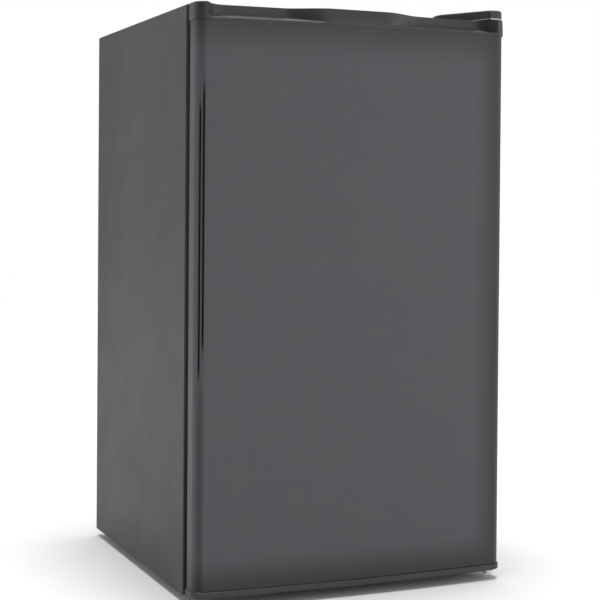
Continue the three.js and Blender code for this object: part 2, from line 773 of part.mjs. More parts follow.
function capPlug() {
  const made = mesh("door_cap_plug", finish.blackPlastic, turned([
    [0, -8],
    [BUSH.body, -8],
    [BUSH.body, -BUSH.flangeHeight],
    [BUSH.flange, -BUSH.flangeHeight],
    [BUSH.flange, -GAP],
    [0, -GAP],
  ], 16));
  made.position.set(-PIN.x, PIN.y, DOOR_TOP);
  return made;
}

const PANEL_LOW = DOOR_BOTTOM + BOTTOM_CAP + GAP;
const PANEL_HIGH = DOOR_TOP - TOP_CAP;

// Bowed steel front, folded round the sides and in behind, with two fine grip flutes in the left corner.
function doorPanel() {
  const inner = doorPlan(CAP_OVERHANG + SHEET, DOOR_BACK - SHEET);
  let panel = raised(doorPlan(CAP_OVERHANG, DOOR_BACK), PANEL_LOW, PANEL_HIGH)
    .subtract(raised(inner, PANEL_LOW - 1, PANEL_HIGH + 1))
    .subtract(wideBox(HALF - CAP_OVERHANG - SKIRT, DOOR_BACK - SHEET - 1, DOOR_BACK + 1, 0, CABINET_TOP));
  const corner = DOOR_CORNER - CAP_OVERHANG;
  const cornerX = HALF - DOOR_CORNER;
  const cornerY = BOW_CENTRE - Math.sqrt((BOW_RADIUS - DOOR_CORNER) ** 2 - cornerX ** 2);
  for (const degrees of GRIP.angles) {
    const angle = THREE.MathUtils.degToRad(degrees);
    const x = -cornerX + corner * Math.cos(angle);
    const y = cornerY + corner * Math.sin(angle);
    panel = panel.subtract(post(GRIP.radius, x, y, GRIP.low, GRIP.high, 8));
  }
  return mesh("door_panel", finish.blackSteel, panel);
}

const DYKE = { half: 206, low: 52, high: 804, width: 22, reach: 27 }; // the ridge that enters the cabinet
const RACK = { half: 183.4, wall: 2.2, back: DOOR_BACK + 0.6 };

function dykeRing(inset, y0, y1) {
  const { half, low, high, width } = DYKE;
  const outer = wideBox(half - inset, y0, y1, low + inset, high - inset);
  const inner = wideBox(half - width + inset, y0 - 1, y1 + 1, low + width - inset, high - width + inset);
  return outer.subtract(inner);
}

function doorLiner() {
  const plateHalf = HALF - CAP_OVERHANG - SKIRT - GAP;
  const plate = wideBox(plateHalf, DOOR_BACK - PLASTIC, DOOR_BACK, PANEL_LOW, PANEL_HIGH);
  let liner = plate
    .add(dykeRing(0, DOOR_BACK - 1, DOOR_BACK + DYKE.reach))
    .subtract(dykeRing(PLASTIC, DOOR_BACK - PLASTIC - 1, DOOR_BACK + DYKE.reach - PLASTIC));
  // Small lugs on the ridge's inner faces carry the ends of the racks.
  for (const rack of RACKS) {
    for (const side of [-1, 1]) {
      const ridge = DYKE.half - DYKE.width;
      const lug = sideBox(
        side, ridge - 6, ridge + 1, DOOR_BACK - 1, DOOR_BACK + 22, rack.low - 5, rack.low - GAP,
      );
      liner = liner.add(lug);
    }
  }
  return mesh("door_liner", finish.whitePlastic, liner);
}

function doorFoam() {
  const behindLiner = DOOR_BACK - PLASTIC - 0.4;
  const boss = post(BUSH.flange + 2.5, PIN.x, PIN.y, 0, DOOR_BOTTOM + BUSH.length + 4.5, 16);
  const foam = raised(doorPlan(CAP_OVERHANG + SHEET + 1.5, behindLiner), PANEL_LOW + 0.4, PANEL_HIGH - 0.4)
    .subtract(boss)
    .add(dykeRing(PLASTIC + 0.4, behindLiner - 1, DOOR_BACK + DYKE.reach - PLASTIC - 0.4));
  return mesh("door_foam", finish.foam, foam);
}

// Magnetic seal: a soft ring between the door and the cabinet's face.
function doorGasket() {
  const [y0, y1] = [DOOR_BACK + GAP, FACE - GAP];
  const ring = (inset, from, to) => wideBox(231 - inset, from, to, 28 + inset, 832 - inset);
  const web = (y0 + y1) / 2;
  const gasket = ring(0, y0, y1)
    .subtract(ring(18, y0 - 1, y1 + 1))
    .subtract(ring(0, web - 1.5, web + 1.5).subtract(ring(3, web - 2, web + 2)));
  return mesh("door_gasket", finish.rubber, gasket);
}

const RACKS = [
  { name: "door_rack_upper", low: 540, height: 60, reach: 88 },
  { name: "door_rack_middle", low: 330, height: 64, reach: 88 },
  { name: "door_rack_bottle", low: 82, height: 84, reach: 112 },
];

function doorRack({ name, low, height, reach }) {
  const { half, wall, back } = RACK;
  const front = DOOR_BACK + reach;
  const rack = wideBox(half, back, front, low, low + height)
    .subtract(wideBox(half - wall, back + wall, front - wall, low + wall, low + height + 1));
  return mesh(name, finish.clearPlastic, rack);
}

// ---------- inside ----------
const FREEZER = { half: 193, front: -52, back: 196, low: 672, high: 798 };
const FLAP = { half: 189, thick: 5, low: 674, high: 793, y: FREEZER.front - 12, pin: 2.5 };
const TRAY = { half: 196, lipHalf: 208, front: -50, back: 184, low: 630, wall: 2 };

// Roll-bond aluminium: a box open in front, which hangs from the ceiling by four bent tabs.
function evaporatorBox() {
  const { half, front, back, low, high } = FREEZER;
  const thick = PLASTIC;
  let made = wideBox(half, front, back, low, high)
    .subtract(wideBox(half - thick, front - 1, back - thick, low + thick, high - thick));
  for (const x of [-140, 140]) {
    for (const y of [front + 40, back - 40]) {
      made = made.add(box(x - 10, x + 10, y - 1, y + 1, high - 1, ROOM.ceiling - GAP));
    }
  }
  return mesh("evaporator_box", finish.aluminium, made);
}

function evaporatorFrame() {
  const { half, front, low, high } = FREEZER;
  const [y0, y1] = [front - 6, front - GAP];
  let frame = wideBox(half + 6, y0, y1, low - 6, high + 5)
    .subtract(wideBox(half - 6, y0 - 1, y1 + 1, low + 5, high - 5));
  const axle = new THREE.CylinderGeometry(FLAP.pin + 0.4, FLAP.pin + 0.4, 2 * half + 40, 16);
  const bore = solid(axle.rotateZ(Math.PI / 2).translate(0, FLAP.y, FLAP.low));
  for (const side of [-1, 1]) {
    frame = frame.add(sideBox(side, FLAP.half + 1, half + 5, FLAP.y - 6, y1, low - 6, low + 8));
  }
  return mesh("evaporator_frame", finish.whitePlastic, frame.subtract(bore));
}

// The flap stands upright on two stub axles and drops forward.
function freezerFlap() {
  const { half, thick, low, high, y, pin } = FLAP;
  const barrel = new THREE.CylinderGeometry(thick / 2, thick / 2, 2 * half, 12);
  const axle = new THREE.CylinderGeometry(pin, pin, 2 * half + 9, 12);
  const pull = wideBox(40, -thick / 2 - 9, 0, high - low - 12, high - low - 8);
  const flap = wideBox(half, -thick / 2, thick / 2, 0, high - low)
    .add(solid(barrel.rotateZ(Math.PI / 2)))
    .add(solid(axle.rotateZ(Math.PI / 2)))
    .add(pull);
  const made = mesh("freezer_flap", finish.clearPlastic, flap);
  made.position.set(0, y, low);
  return made;
}

function dripTray() {
  const { half, lipHalf, front, back, low, wall } = TRAY;
  const top = TRAY_RAIL.top + GAP + wall;
  const tray = wideBox(half, front, back, low, top)
    .add(wideBox(lipHalf, front, back, top - wall, top))
    .subtract(wideBox(half - wall, front + wall, back - wall, low + wall, top + 1))
    .add(wideBox(50, front - 6, front + 1, top - 12, top));
  return mesh("drip_tray", finish.clearPlastic, tray);
}

const SHELF = { half: 209, front: -115, back: ROOM.back - 2, thick: 4 };

function shelf(level, top) {
  const { half, front, back, thick } = SHELF;
  const low = top + GAP;
  const slot = front + 6;
  const glass = wideBox(half, slot + GAP, back, low, low + thick);
  let trim = wideBox(half, front, front + 14, low - 4, low + thick + 3)
    .subtract(wideBox(half + 1, slot, front + 15, low - GAP, low + thick + GAP));
  // The trim's lower lip stops short of the wall ledges.
  for (const side of [-1, 1]) {
    const near = half - LEDGE.reach - 1;
    trim = trim.subtract(sideBox(side, near, half + 1, LEDGE.front - 1, front + 15, low - 5, low));
  }
  return group(
    mesh(`shelf_glass_${level}`, finish.glass, glass),
    mesh(`shelf_trim_${level}`, finish.whitePlastic, trim),
  );
}

const DIAL = { x: 190, z: 590, front: -44, radius: 16 };

function thermostatHousing() {
  const outline = new THREE.Shape();
  const [left, right, low, high, corner] = [168, ROOM.half - GAP, 564, 616, 8];
  outline.moveTo(right, low);
  outline.lineTo(right, high);
  outline.absarc(left + corner, high - corner, corner, Math.PI / 2, Math.PI, false);
  outline.absarc(left + corner, low + corner, corner, Math.PI, 1.5 * Math.PI, false);
  return mesh("thermostat_housing", finish.whitePlastic, runBack(outline, DIAL.front, 60));
}

// A round knob with a raised grip bar, turned about the axis that points out of the housing.
function thermostatKnob() {
  const knob = turned([
    [0, 0.4],
    [DIAL.radius, 0.4],
    [DIAL.radius, 5],
    [DIAL.radius - 2, 7],
    [0, 7],
  ], 20).add(box(-2.5, 2.5, -DIAL.radius + 3, DIAL.radius - 3, 6, 15));
  const made = mesh("thermostat_knob", finish.whitePlastic, knob);
  made.position.set(DIAL.x, DIAL.front, DIAL.z);
  made.rotation.x = Math.PI / 2;
  return made;
}

// ---------- the appliance ----------
const sides = [
  ["left", -1],
  ["right", 1],
];

const cabinet = group(
  cabinetWrap(),
  backPanel(),
  frontCrossRail(),
  basePan(),
  insulationFoam(),
  innerLiner(),
  ...TOP_SCREWS.map((place, i) => holePlug(`hinge_hole_plug_${i + 1}`, place)),
  ...sides.map(([name, side]) => frontFoot(`front_foot_${name}`, side)),
  ...sides.map(([name, side]) => rearFoot(`rear_foot_${name}`, side)),
  topHinge(),
  topHingeCover(),
  bottomHinge(),
);

const refrigeration = group(
  compressorCrossbar(),
  compressor(),
  ...GROMMETS.map((place, i) => grommet(`compressor_grommet_${i + 1}`, place)),
  relayCover(),
  refrigerantTubes(),
  filterDrier(),
  ...sides.map(([name, side]) => condenserCoil(`condenser_coil_${name}`, side)),
  cordGland(),
);

const inside = group(
  evaporatorBox(),
  evaporatorFrame(),
  freezerFlap(),
  dripTray(),
  shelf("upper", SHELF_HEIGHTS[2]),
  shelf("lower", SHELF_HEIGHTS[0]),
  thermostatHousing(),
  thermostatKnob(),
);

const door = group(
  doorPanel(),
  doorTopCap(),
  doorBottomCap(),
  bush("door_bushing_top", DOOR_TOP, -1),
  bush("door_bushing_bottom", DOOR_BOTTOM, 1),
  capPlug(),
  doorFoam(),
  doorLiner(),
  doorGasket(),
  ...RACKS.map(doorRack),
);

const fridge = group(cabinet, refrigeration, inside, door);

export default fridge;
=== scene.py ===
"""The looks of a compact black refrigerator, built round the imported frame.

Metres, +Z up, the door faces -Y.
"""

import math

import bmesh
import bpy
from mathutils import Matrix, Vector


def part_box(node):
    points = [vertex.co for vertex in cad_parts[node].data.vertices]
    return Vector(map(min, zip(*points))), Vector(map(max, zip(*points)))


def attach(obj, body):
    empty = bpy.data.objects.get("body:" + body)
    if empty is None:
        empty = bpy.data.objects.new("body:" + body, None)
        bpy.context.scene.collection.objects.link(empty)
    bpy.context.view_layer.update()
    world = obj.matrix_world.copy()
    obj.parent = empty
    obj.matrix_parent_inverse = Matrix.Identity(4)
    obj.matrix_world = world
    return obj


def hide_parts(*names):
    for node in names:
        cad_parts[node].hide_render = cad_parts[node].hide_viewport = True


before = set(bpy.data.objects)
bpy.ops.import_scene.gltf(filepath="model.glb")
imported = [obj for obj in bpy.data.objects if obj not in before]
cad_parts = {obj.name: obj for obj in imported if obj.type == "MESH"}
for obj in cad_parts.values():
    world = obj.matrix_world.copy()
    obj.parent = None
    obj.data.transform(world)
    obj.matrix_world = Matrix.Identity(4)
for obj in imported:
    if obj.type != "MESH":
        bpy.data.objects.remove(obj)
bpy.context.view_layer.update()

MM = 0.001


# ---------- places taken from the frame ----------
def box(node):
    """A node's lowest and highest corners."""
    low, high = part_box(node)
    return low, high


def place_of(node):
    """A node's lowest and highest corners, and the point half way between them."""
    low, high = box(node)
    return low, high, (low + high) / 2


CAP_LOW, CAP_HIGH = box("door_top_cap")
PANEL_LOW, PANEL_HIGH = box("door_panel")
WRAP_LOW, WRAP_HIGH = box("cabinet_wrap")

HALF = CAP_HIGH.x
DOOR_BACK = CAP_HIGH.y
DOOR_FRONT = CAP_LOW.y
FACE = WRAP_LOW.y
BACK = WRAP_HIGH.y
OVERHANG = HALF - PANEL_HIGH.x  # the end caps stand out past the steel
SHEET = 1.5 * MM
FLANGE = 26 * MM  # the wrap's front flanges
REAR_FLANGE = 12 * MM
DOOR_BOW = 10.5 * MM
DOOR_CORNER = 17 * MM
MID_HEIGHT = 0.4  # parts above this belong to the top hinge, parts below to the bottom one
BOW_RADIUS = (HALF**2 + DOOR_BOW**2) / (2 * DOOR_BOW)
BOW_CENTRE = DOOR_FRONT + BOW_RADIUS


# ---------- camera ----------
CAMERA_PLACE = (-0.9051, -2.1771, 0.5619)
CAMERA_YAW = 22.94
CAMERA_PITCH = 0.8186
CAMERA_ROLL = 0.4355
CAMERA_LENS = 88.31
CAMERA_SHIFT = -0.1207
SENSOR_WIDTH = 36


def make_camera():
    yaw, pitch, roll = (math.radians(a) for a in (CAMERA_YAW, CAMERA_PITCH, CAMERA_ROLL))
    forward = Vector((math.sin(yaw) * math.cos(pitch), math.cos(yaw) * math.cos(pitch), -math.sin(pitch)))
    level = Vector((math.cos(yaw), -math.sin(yaw), 0))
    above = level.cross(forward)
    right = level * math.cos(roll) + above * math.sin(roll)
    up = above * math.cos(roll) - level * math.sin(roll)
    lens = bpy.data.cameras.new("camera")
    lens.lens = CAMERA_LENS
    lens.sensor_width = SENSOR_WIDTH
    lens.shift_y = CAMERA_SHIFT
    camera = bpy.data.objects.new("camera", lens)
    turn = Matrix((right, up, -forward)).transposed().to_4x4()
    camera.matrix_world = Matrix.Translation(CAMERA_PLACE) @ turn
    bpy.context.scene.collection.objects.link(camera)
    bpy.context.scene.camera = camera


# ---------- materials ----------
def smooth_range(nodes, links, value, low, high, to_low, to_high):
    """A node that takes value smoothly from to_low, at low, to to_high, at high."""
    node = nodes.new("ShaderNodeMapRange")
    node.interpolation_type = "SMOOTHSTEP"
    node.inputs["From Min"].default_value = low
    node.inputs["From Max"].default_value = high
    node.inputs["To Min"].default_value = to_low
    node.inputs["To Max"].default_value = to_high
    links.new(value, node.inputs["Value"])
    return node.outputs["Result"]


class Look:
    """A procedural material round one Principled shader. Coordinates are the object's own, in metres."""

    def __init__(self, name, color, roughness, metallic=0.0, **sockets):
        self.material = bpy.data.materials.new(name)
        self.material.use_nodes = True
        tree = self.material.node_tree
        self.nodes = tree.nodes
        self.links = tree.links
        self.shader = self.nodes["Principled BSDF"]
        self.shader.inputs["Base Color"].default_value = (*color, 1)
        self.shader.inputs["Roughness"].default_value = roughness
        self.shader.inputs["Metallic"].default_value = metallic
        for socket, value in sockets.items():
            self.shader.inputs[socket.replace("_", " ")].default_value = value
        self.place = self.nodes.new("ShaderNodeTexCoord").outputs["Object"]
        self.color = None
        self.base = color
        self.normal = None

    def stretched(self, scale):
        mapping = self.nodes.new("ShaderNodeMapping")
        mapping.inputs["Scale"].default_value = scale
        self.links.new(self.place, mapping.inputs["Vector"])
        return mapping.outputs["Vector"]

    def noise(self, scale, detail=2.0, stretch=(1, 1, 1)):
        node = self.nodes.new("ShaderNodeTexNoise")
        node.inputs["Scale"].default_value = scale
        node.inputs["Detail"].default_value = detail
        self.links.new(self.stretched(stretch), node.inputs["Vector"])
        return node.outputs["Fac"]

    def cells(self, scale):
        node = self.nodes.new("ShaderNodeTexVoronoi")
        node.inputs["Scale"].default_value = scale
        self.links.new(self.stretched((1, 1, 1)), node.inputs["Vector"])
        return node.outputs["Distance"]

    def ranged(self, value, low, high, to_low=0.0, to_high=1.0):
        return smooth_range(self.nodes, self.links, value, low, high, to_low, to_high)

    def tint(self, mask, color):
        """Blends the base colour towards color where mask is 1."""
        node = self.nodes.new("ShaderNodeMix")
        node.data_type = "RGBA"
        self.links.new(mask, node.inputs["Factor"])
        if self.color is None:
            node.inputs["A"].default_value = (*self.base, 1)
        else:
            self.links.new(self.color, node.inputs["A"])
        node.inputs["B"].default_value = (*color, 1)
        self.color = node.outputs["Result"]
        self.links.new(self.color, self.shader.inputs["Base Color"])

    def mottle(self, scale, detail, low, high, color):
        """Blends towards color in soft patches."""
        self.tint(self.ranged(self.noise(scale, detail), low, high), color)

    def rough(self, value, low, high):
        self.links.new(self.ranged(value, 0.3, 0.7, low, high), self.shader.inputs["Roughness"])

    def bump(self, height, strength, distance):
        node = self.nodes.new("ShaderNodeBump")
        node.inputs["Strength"].default_value = strength
        node.inputs["Distance"].default_value = distance
        self.links.new(height, node.inputs["Height"])
        if self.normal is not None:
            self.links.new(self.normal, node.inputs["Normal"])
        self.normal = node.outputs["Normal"]
        self.links.new(self.normal, self.shader.inputs["Normal"])

    def dulled(self, mask, level):
        """The shader's specular level falls to level where mask is 1."""
        socket = self.shader.inputs["Specular IOR Level"]
        self.links.new(self.ranged(mask, 0.0, 1.0, socket.default_value, level), socket)

    def along(self, axis, start, end):
        """Nought at start and one at end, in metres along one of the piece's own axes."""
        split = self.nodes.new("ShaderNodeSeparateXYZ")
        self.links.new(self.place, split.inputs[0])
        return self.ranged(split.outputs[axis], start, end)

    def marked(self, attribute):
        """A point attribute that a piece's mesh carries."""
        node = self.nodes.new("ShaderNodeAttribute")
        node.attribute_name = attribute
        return node.outputs["Fac"]


def scaled(color, share):
    return tuple(channel * share for channel in color)


def painted_steel(name, tone, specular, shaded=()):
    """Semi-gloss black paint; painted shade darkens it towards the edges in shaded: (axis, start, end,
    colour).
    """
    look = Look(name, scaled((0.0585, 0.0605, 0.0660), tone), 0.46, Specular_IOR_Level=specular)
    look.mottle(5.0, 3.0, 0.35, 0.68, scaled((0.056, 0.0595, 0.0670), tone))
    look.mottle(38.0, 3.0, 0.45, 0.75, scaled((0.060, 0.0625, 0.0650), tone))
    # Painted shade: each listed edge band blends the colour darker.
    for axis, start, end, color in shaded:
        look.tint(look.along(axis, start, end), color)
    # Painted shade: near black, with dulled specular, in the grip grooves and on the door's corner below
    # them, where the mesh's groove attribute is set.
    look.tint(look.marked("groove"), (0.002, 0.002, 0.0025))
    look.dulled(look.marked("groove"), 0.02)
    look.rough(look.noise(16.0, 4.0), 0.44, 0.48)
    look.bump(look.noise(4.5, 1.0), 0.03, 0.5 * MM)
    look.bump(look.noise(620.0, 2.0), 0.18, 0.06 * MM)
    return look.material


TOP_BAND = 0.052  # how far the painted shade on the door's paint reaches in from each edge
FOOT_BAND = 0.050
RIGHT_BAND = 0.060
SIDE_SHADE_START = 0.05  # depth and height at which the painted shade on the cabinet's side starts
FOOT_SHADE_START = 0.42
# Colours of the painted shade: on the door's top edge, on its foot and right edge, and on the cabinet's
# back and foot.
TOP_EDGE_PAINTED_SHADE = (0.032, 0.033, 0.035)
DARK_EDGE_PAINTED_SHADE = (0.021, 0.022, 0.024)
CABINET_PAINTED_SHADE = (0.036, 0.037, 0.039)


def door_paint_with_shade():
    # Painted shade: the paint darkens towards the door's top, its foot and its right edge.
    return painted_steel("black_door_paint_with_painted_shade", 1.06, 0.38, (
        ("Z", PANEL_HIGH.z - TOP_BAND, PANEL_HIGH.z, TOP_EDGE_PAINTED_SHADE),
        ("Z", PANEL_LOW.z + FOOT_BAND, PANEL_LOW.z, DARK_EDGE_PAINTED_SHADE),
        ("X", PANEL_HIGH.x - RIGHT_BAND, PANEL_HIGH.x, DARK_EDGE_PAINTED_SHADE),
    ))


def cabinet_paint_with_shade():
    # Painted shade: the paint darkens towards the cabinet's back and towards its foot.
    return painted_steel("black_cabinet_paint_with_painted_shade", 0.92, 0.2, (
        ("Y", SIDE_SHADE_START, BACK, CABINET_PAINTED_SHADE),
        ("Z", FOOT_SHADE_START, WRAP_LOW.z, CABINET_PAINTED_SHADE),
    ))


def black_plastic():
    look = Look("black_moulded_plastic", (0.022, 0.0225, 0.0235), 0.44)
    look.mottle(24.0, 4.0, 0.42, 0.7, (0.026, 0.0265, 0.027))
    look.rough(look.noise(60.0, 4.0), 0.40, 0.47)
    look.bump(look.cells(1500.0), 0.12, 0.05 * MM)
    look.bump(look.noise(700.0, 3.0), 0.15, 0.05 * MM)
    return look.material


def white_plastic():
    look = Look(
        "white_vacuum_formed_plastic", (0.80, 0.81, 0.80), 0.32, Coat_Weight=0.15, Coat_Roughness=0.2
    )
    look.mottle(7.0, 3.0, 0.4, 0.75, (0.77, 0.785, 0.78))
    look.rough(look.noise(30.0, 3.0), 0.28, 0.38)
    look.bump(look.noise(22.0, 2.0), 0.2, 0.5 * MM)
    look.bump(look.noise(420.0, 2.0), 0.08, 0.05 * MM)
    return look.material


def clear_plastic():
    look = Look(
        "clear_bin_plastic", (0.90, 0.945, 0.96), 0.12, Transmission_Weight=0.88, IOR=1.49, Coat_Weight=0.1
    )
    look.mottle(14.0, 4.0, 0.4, 0.8, (0.85, 0.91, 0.94))
    look.rough(look.noise(90.0, 5.0), 0.08, 0.16)
    look.bump(look.noise(35.0, 2.0, (1, 1, 4)), 0.06, 0.1 * MM)
    return look.material


def shelf_glass():
    look = Look("tempered_shelf_glass", (0.86, 0.96, 0.925), 0.03, Transmission_Weight=0.94, IOR=1.52)
    look.mottle(9.0, 2.0, 0.4, 0.8, (0.82, 0.95, 0.91))
    look.rough(look.noise(45.0, 5.0), 0.015, 0.07)
    look.bump(look.noise(12.0, 1.0), 0.05, 0.2 * MM)
    return look.material


def foam():
    look = Look("insulation_foam", (0.72, 0.63, 0.38), 0.92)
    look.mottle(40.0, 5.0, 0.4, 0.7, (0.62, 0.52, 0.28))
    look.bump(look.cells(480.0), 0.6, 0.8 * MM)
    look.bump(look.noise(60.0, 4.0), 0.4, 1.5 * MM)
    return look.material


def galvanised_steel():
    look = Look("galvanised_steel", (0.50, 0.51, 0.52), 0.42, 0.95)
    look.tint(look.ranged(look.cells(130.0), 0.2, 0.8), (0.455, 0.467, 0.478))
    look.mottle(9.0, 5.0, 0.5, 0.78, (0.45, 0.455, 0.455))
    look.rough(look.noise(85.0, 4.0), 0.34, 0.52)
    look.bump(look.noise(240.0, 3.0), 0.12, 0.08 * MM)
    return look.material


def zinc_plate():
    look = Look("zinc_plate", (0.58, 0.585, 0.56), 0.34, 1.0)
    look.mottle(70.0, 4.0, 0.45, 0.75, (0.50, 0.50, 0.45))
    look.rough(look.noise(160.0, 3.0), 0.26, 0.42)
    look.bump(look.noise(900.0, 2.0), 0.15, 0.04 * MM)
    return look.material


def aluminium():
    look = Look("roll_bond_aluminium", (0.66, 0.67, 0.68), 0.36, 1.0)
    look.mottle(11.0, 4.0, 0.45, 0.75, (0.63, 0.64, 0.65))
    look.rough(look.noise(40.0, 4.0, (1, 12, 1)), 0.38, 0.44)
    look.bump(look.noise(300.0, 2.0, (1, 0.06, 1)), 0.1, 0.04 * MM)
    return look.material


def copper():
    look = Look("drawn_copper", (0.68, 0.34, 0.20), 0.30, 1.0)
    look.mottle(34.0, 4.0, 0.5, 0.72, (0.40, 0.20, 0.13))
    look.rough(look.noise(70.0, 4.0), 0.22, 0.46)
    look.bump(look.noise(500.0, 2.0), 0.1, 0.05 * MM)
    return look.material


def black_enamel():
    look = Look("black_enamel", (0.018, 0.018, 0.019), 0.30, Coat_Weight=0.3, Coat_Roughness=0.25)
    look.mottle(18.0, 5.0, 0.5, 0.8, (0.05, 0.048, 0.045))
    look.rough(look.noise(50.0, 4.0), 0.26, 0.48)
    look.bump(look.noise(260.0, 3.0), 0.25, 0.15 * MM)
    return look.material


def rubber():
    look = Look("black_seal_rubber", (0.020, 0.020, 0.021), 0.72)
    look.mottle(50.0, 4.0, 0.45, 0.75, (0.032, 0.032, 0.033))
    look.rough(look.noise(120.0, 3.0), 0.62, 0.82)
    look.bump(look.noise(800.0, 2.0), 0.25, 0.08 * MM)
    return look.material


def grey_print():
    look = Look("grey_print", (0.22, 0.23, 0.24), 0.5)
    look.mottle(200.0, 3.0, 0.45, 0.7, (0.27, 0.28, 0.29))
    look.bump(look.noise(900.0, 2.0), 0.1, 0.02 * MM)
    return look.material


LOOKS = {
    "black_steel": cabinet_paint_with_shade(),
    "black_plastic": black_plastic(),
    "white_plastic": white_plastic(),
    "clear_plastic": clear_plastic(),
    "shelf_glass": shelf_glass(),
    "foam": foam(),
    "galvanised_steel": galvanised_steel(),
    "zinc_plate": zinc_plate(),
    "aluminium": aluminium(),
    "copper": copper(),
    "black_enamel": black_enamel(),
    "rubber": rubber(),
}


# ---------- mesh tools ----------
def smoothstep(value, low, high):
    t = min(max((value - low) / (high - low), 0.0), 1.0)
    return t * t * (3 - 2 * t)


def arc(x, y, radius, start, end, steps):
    """Points of an arc, angles in degrees, both ends included."""
    angles = [math.radians(start + (end - start) * i / steps) for i in range(steps + 1)]
    return [(x + radius * math.cos(a), y + radius * math.sin(a)) for a in angles]


def round_box(left, right, low, high, radius, steps=6):
    """A rectangle with round corners as one loop of points."""
    radius = max(min(radius, (right - left) / 2, (high - low) / 2), 0.02 * MM)
    return (
        arc(left + radius, low + radius, radius, 180, 270, steps)
        + arc(right - radius, low + radius, radius, 270, 360, steps)
        + arc(right - radius, high - radius, radius, 0, 90, steps)
        + arc(left + radius, high - radius, radius, 90, 180, steps)
    )


def inset_box(left, right, low, high, inset, radius, steps=6):
    """A round box drawn in by inset on all four sides."""
    return round_box(left + inset, right - inset, low + inset, high - inset, radius, steps)


def quarter(steps):
    """Cosine and sine at even steps from 0 to 90 degrees."""
    turns = [math.radians(90 / steps * i) for i in range(steps + 1)]
    return [(math.cos(turn), math.sin(turn)) for turn in turns]


def in_mm(points, base=0.0):
    """A profile given in millimetres, its heights counted from base, in metres."""
    return [(radius * MM, base + height * MM) for radius, height in points]


def about(middle, half):
    """The two limits half millimetres to each side of middle."""
    return middle - half * MM, middle + half * MM


def upright(loop, y):
    """A front outline (x, z) at a depth y."""
    return [(x, y, z) for x, z in loop]


def level(loop, z):
    """A plan outline (x, y) at a height z."""
    return [(x, y, z) for x, y in loop]


def skin(rings, ends=(True, True), wrap=False):
    """A mesh between closed rings of equal length; wrap joins the last ring to the first."""
    count = len(rings[0])
    made = bmesh.new()
    verts = [[made.verts.new(p) for p in ring] for ring in rings]
    for i in range(len(rings) if wrap else len(rings) - 1):
        a, b = verts[i], verts[(i + 1) % len(rings)]
        for j in range(count):
            k = (j + 1) % count
            made.faces.new((a[j], a[k], b[k], b[j]))
    if not wrap and ends[0]:
        made.faces.new(list(reversed(verts[0])))
    if not wrap and ends[1]:
        made.faces.new(verts[-1])
    bmesh.ops.recalc_face_normals(made, faces=made.faces)
    return made


def lathe(profile, sides=48, centre=(0, 0, 0), axis="Z", flute=None):
    """A profile of (radius, height) turned round an axis; flute(angle, radius) alters a radius."""
    made = bmesh.new()
    rings = []
    for radius, height in profile:
        if radius < 1e-7:
            rings.append([made.verts.new((0, 0, height))])
            continue
        ring = []
        for i in range(sides):
            angle = 2 * math.pi * i / sides
            reach = flute(angle, radius) if flute else radius
            ring.append(made.verts.new((reach * math.cos(angle), reach * math.sin(angle), height)))
        rings.append(ring)
    pairs = list(zip(rings, rings[1:]))
    if len(rings[0]) > 1:
        pairs.append((rings[-1], rings[0]))
    for a, b in pairs:
        for i in range(sides):
            k = (i + 1) % sides
            corners = [a[i % len(a)], a[k % len(a)], b[k % len(b)], b[i % len(b)]]
            corners = [v for j, v in enumerate(corners) if v not in corners[:j]]
            if len(corners) > 2:
                made.faces.new(corners)
    bmesh.ops.recalc_face_normals(made, faces=made.faces)
    turns = {
        "Z": Matrix(),
        "-Z": Matrix.Rotation(math.pi, 4, "X"),
        "X": Matrix.Rotation(math.pi / 2, 4, "Y"),
        "Y": Matrix.Rotation(-math.pi / 2, 4, "X"),
        "-Y": Matrix.Rotation(math.pi / 2, 4, "X"),
    }
    bmesh.ops.transform(made, matrix=Matrix.Translation(centre) @ turns[axis], verts=made.verts)
    return made


def block(x0, x1, y0, y1, z0, z1, radius=0.0):
    """A box with its edges rounded."""
    made = skin([level(((x0, y0), (x1, y0), (x1, y1), (x0, y1)), z) for z in (z0, z1)])
    if radius:
        bmesh.ops.bevel(
            made, geom=made.edges[:], offset=radius, segments=3, profile=0.5, affect="EDGES",
            clamp_overlap=True,
        )
    return made


def object_of(name, made):
    mesh = bpy.data.meshes.new(name)
    made.to_mesh(mesh)
    made.free()
    piece = bpy.data.objects.new(name, mesh)
    bpy.context.scene.collection.objects.link(piece)
    return piece


def settled(piece):
    """Applies a piece's modifiers to its mesh."""
    bpy.context.view_layer.update()
    graph = bpy.context.evaluated_depsgraph_get()
    mesh = bpy.data.meshes.new_from_object(piece.evaluated_get(graph))
    piece.modifiers.clear()
    old = piece.data
    piece.data = mesh
    bpy.data.meshes.remove(old)
    return piece


def joined(piece, others, operation="UNION"):
    """Adds or cuts other solids, which are used up."""
    for other in others:
        tool = object_of("tool", other) if isinstance(other, bmesh.types.BMesh) else other
        change = piece.modifiers.new("join", "BOOLEAN")
        change.operation = operation
        change.solver = "EXACT"
        change.object = tool
        settled(piece)
        bpy.data.objects.remove(tool)
    return piece


def finished(piece, body, slot, replaces=(), look=None, sharp=38, bevel=None, segments=2):
    """Gives a piece its body, its material (the slot's, unless look is given) and even shading."""
    mesh = piece.data
    for polygon in mesh.polygons:
        polygon.use_smooth = True
    if bevel:
        rounding = piece.modifiers.new("rounded_edges", "BEVEL")
        rounding.width = bevel
        rounding.segments = segments
        rounding.limit_method = "ANGLE"
        rounding.angle_limit = math.radians(40)
        rounding.harden_normals = True
    else:
        mesh.set_sharp_from_angle(angle=math.radians(sharp))
    even = piece.modifiers.new("even_normals", "WEIGHTED_NORMAL")
    even.keep_sharp = True
    even.weight = 80
    mesh.materials.clear()
    mesh.materials.append(look or LOOKS[slot])
    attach(piece, body)
    if replaces:
        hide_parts(*replaces)
    return piece


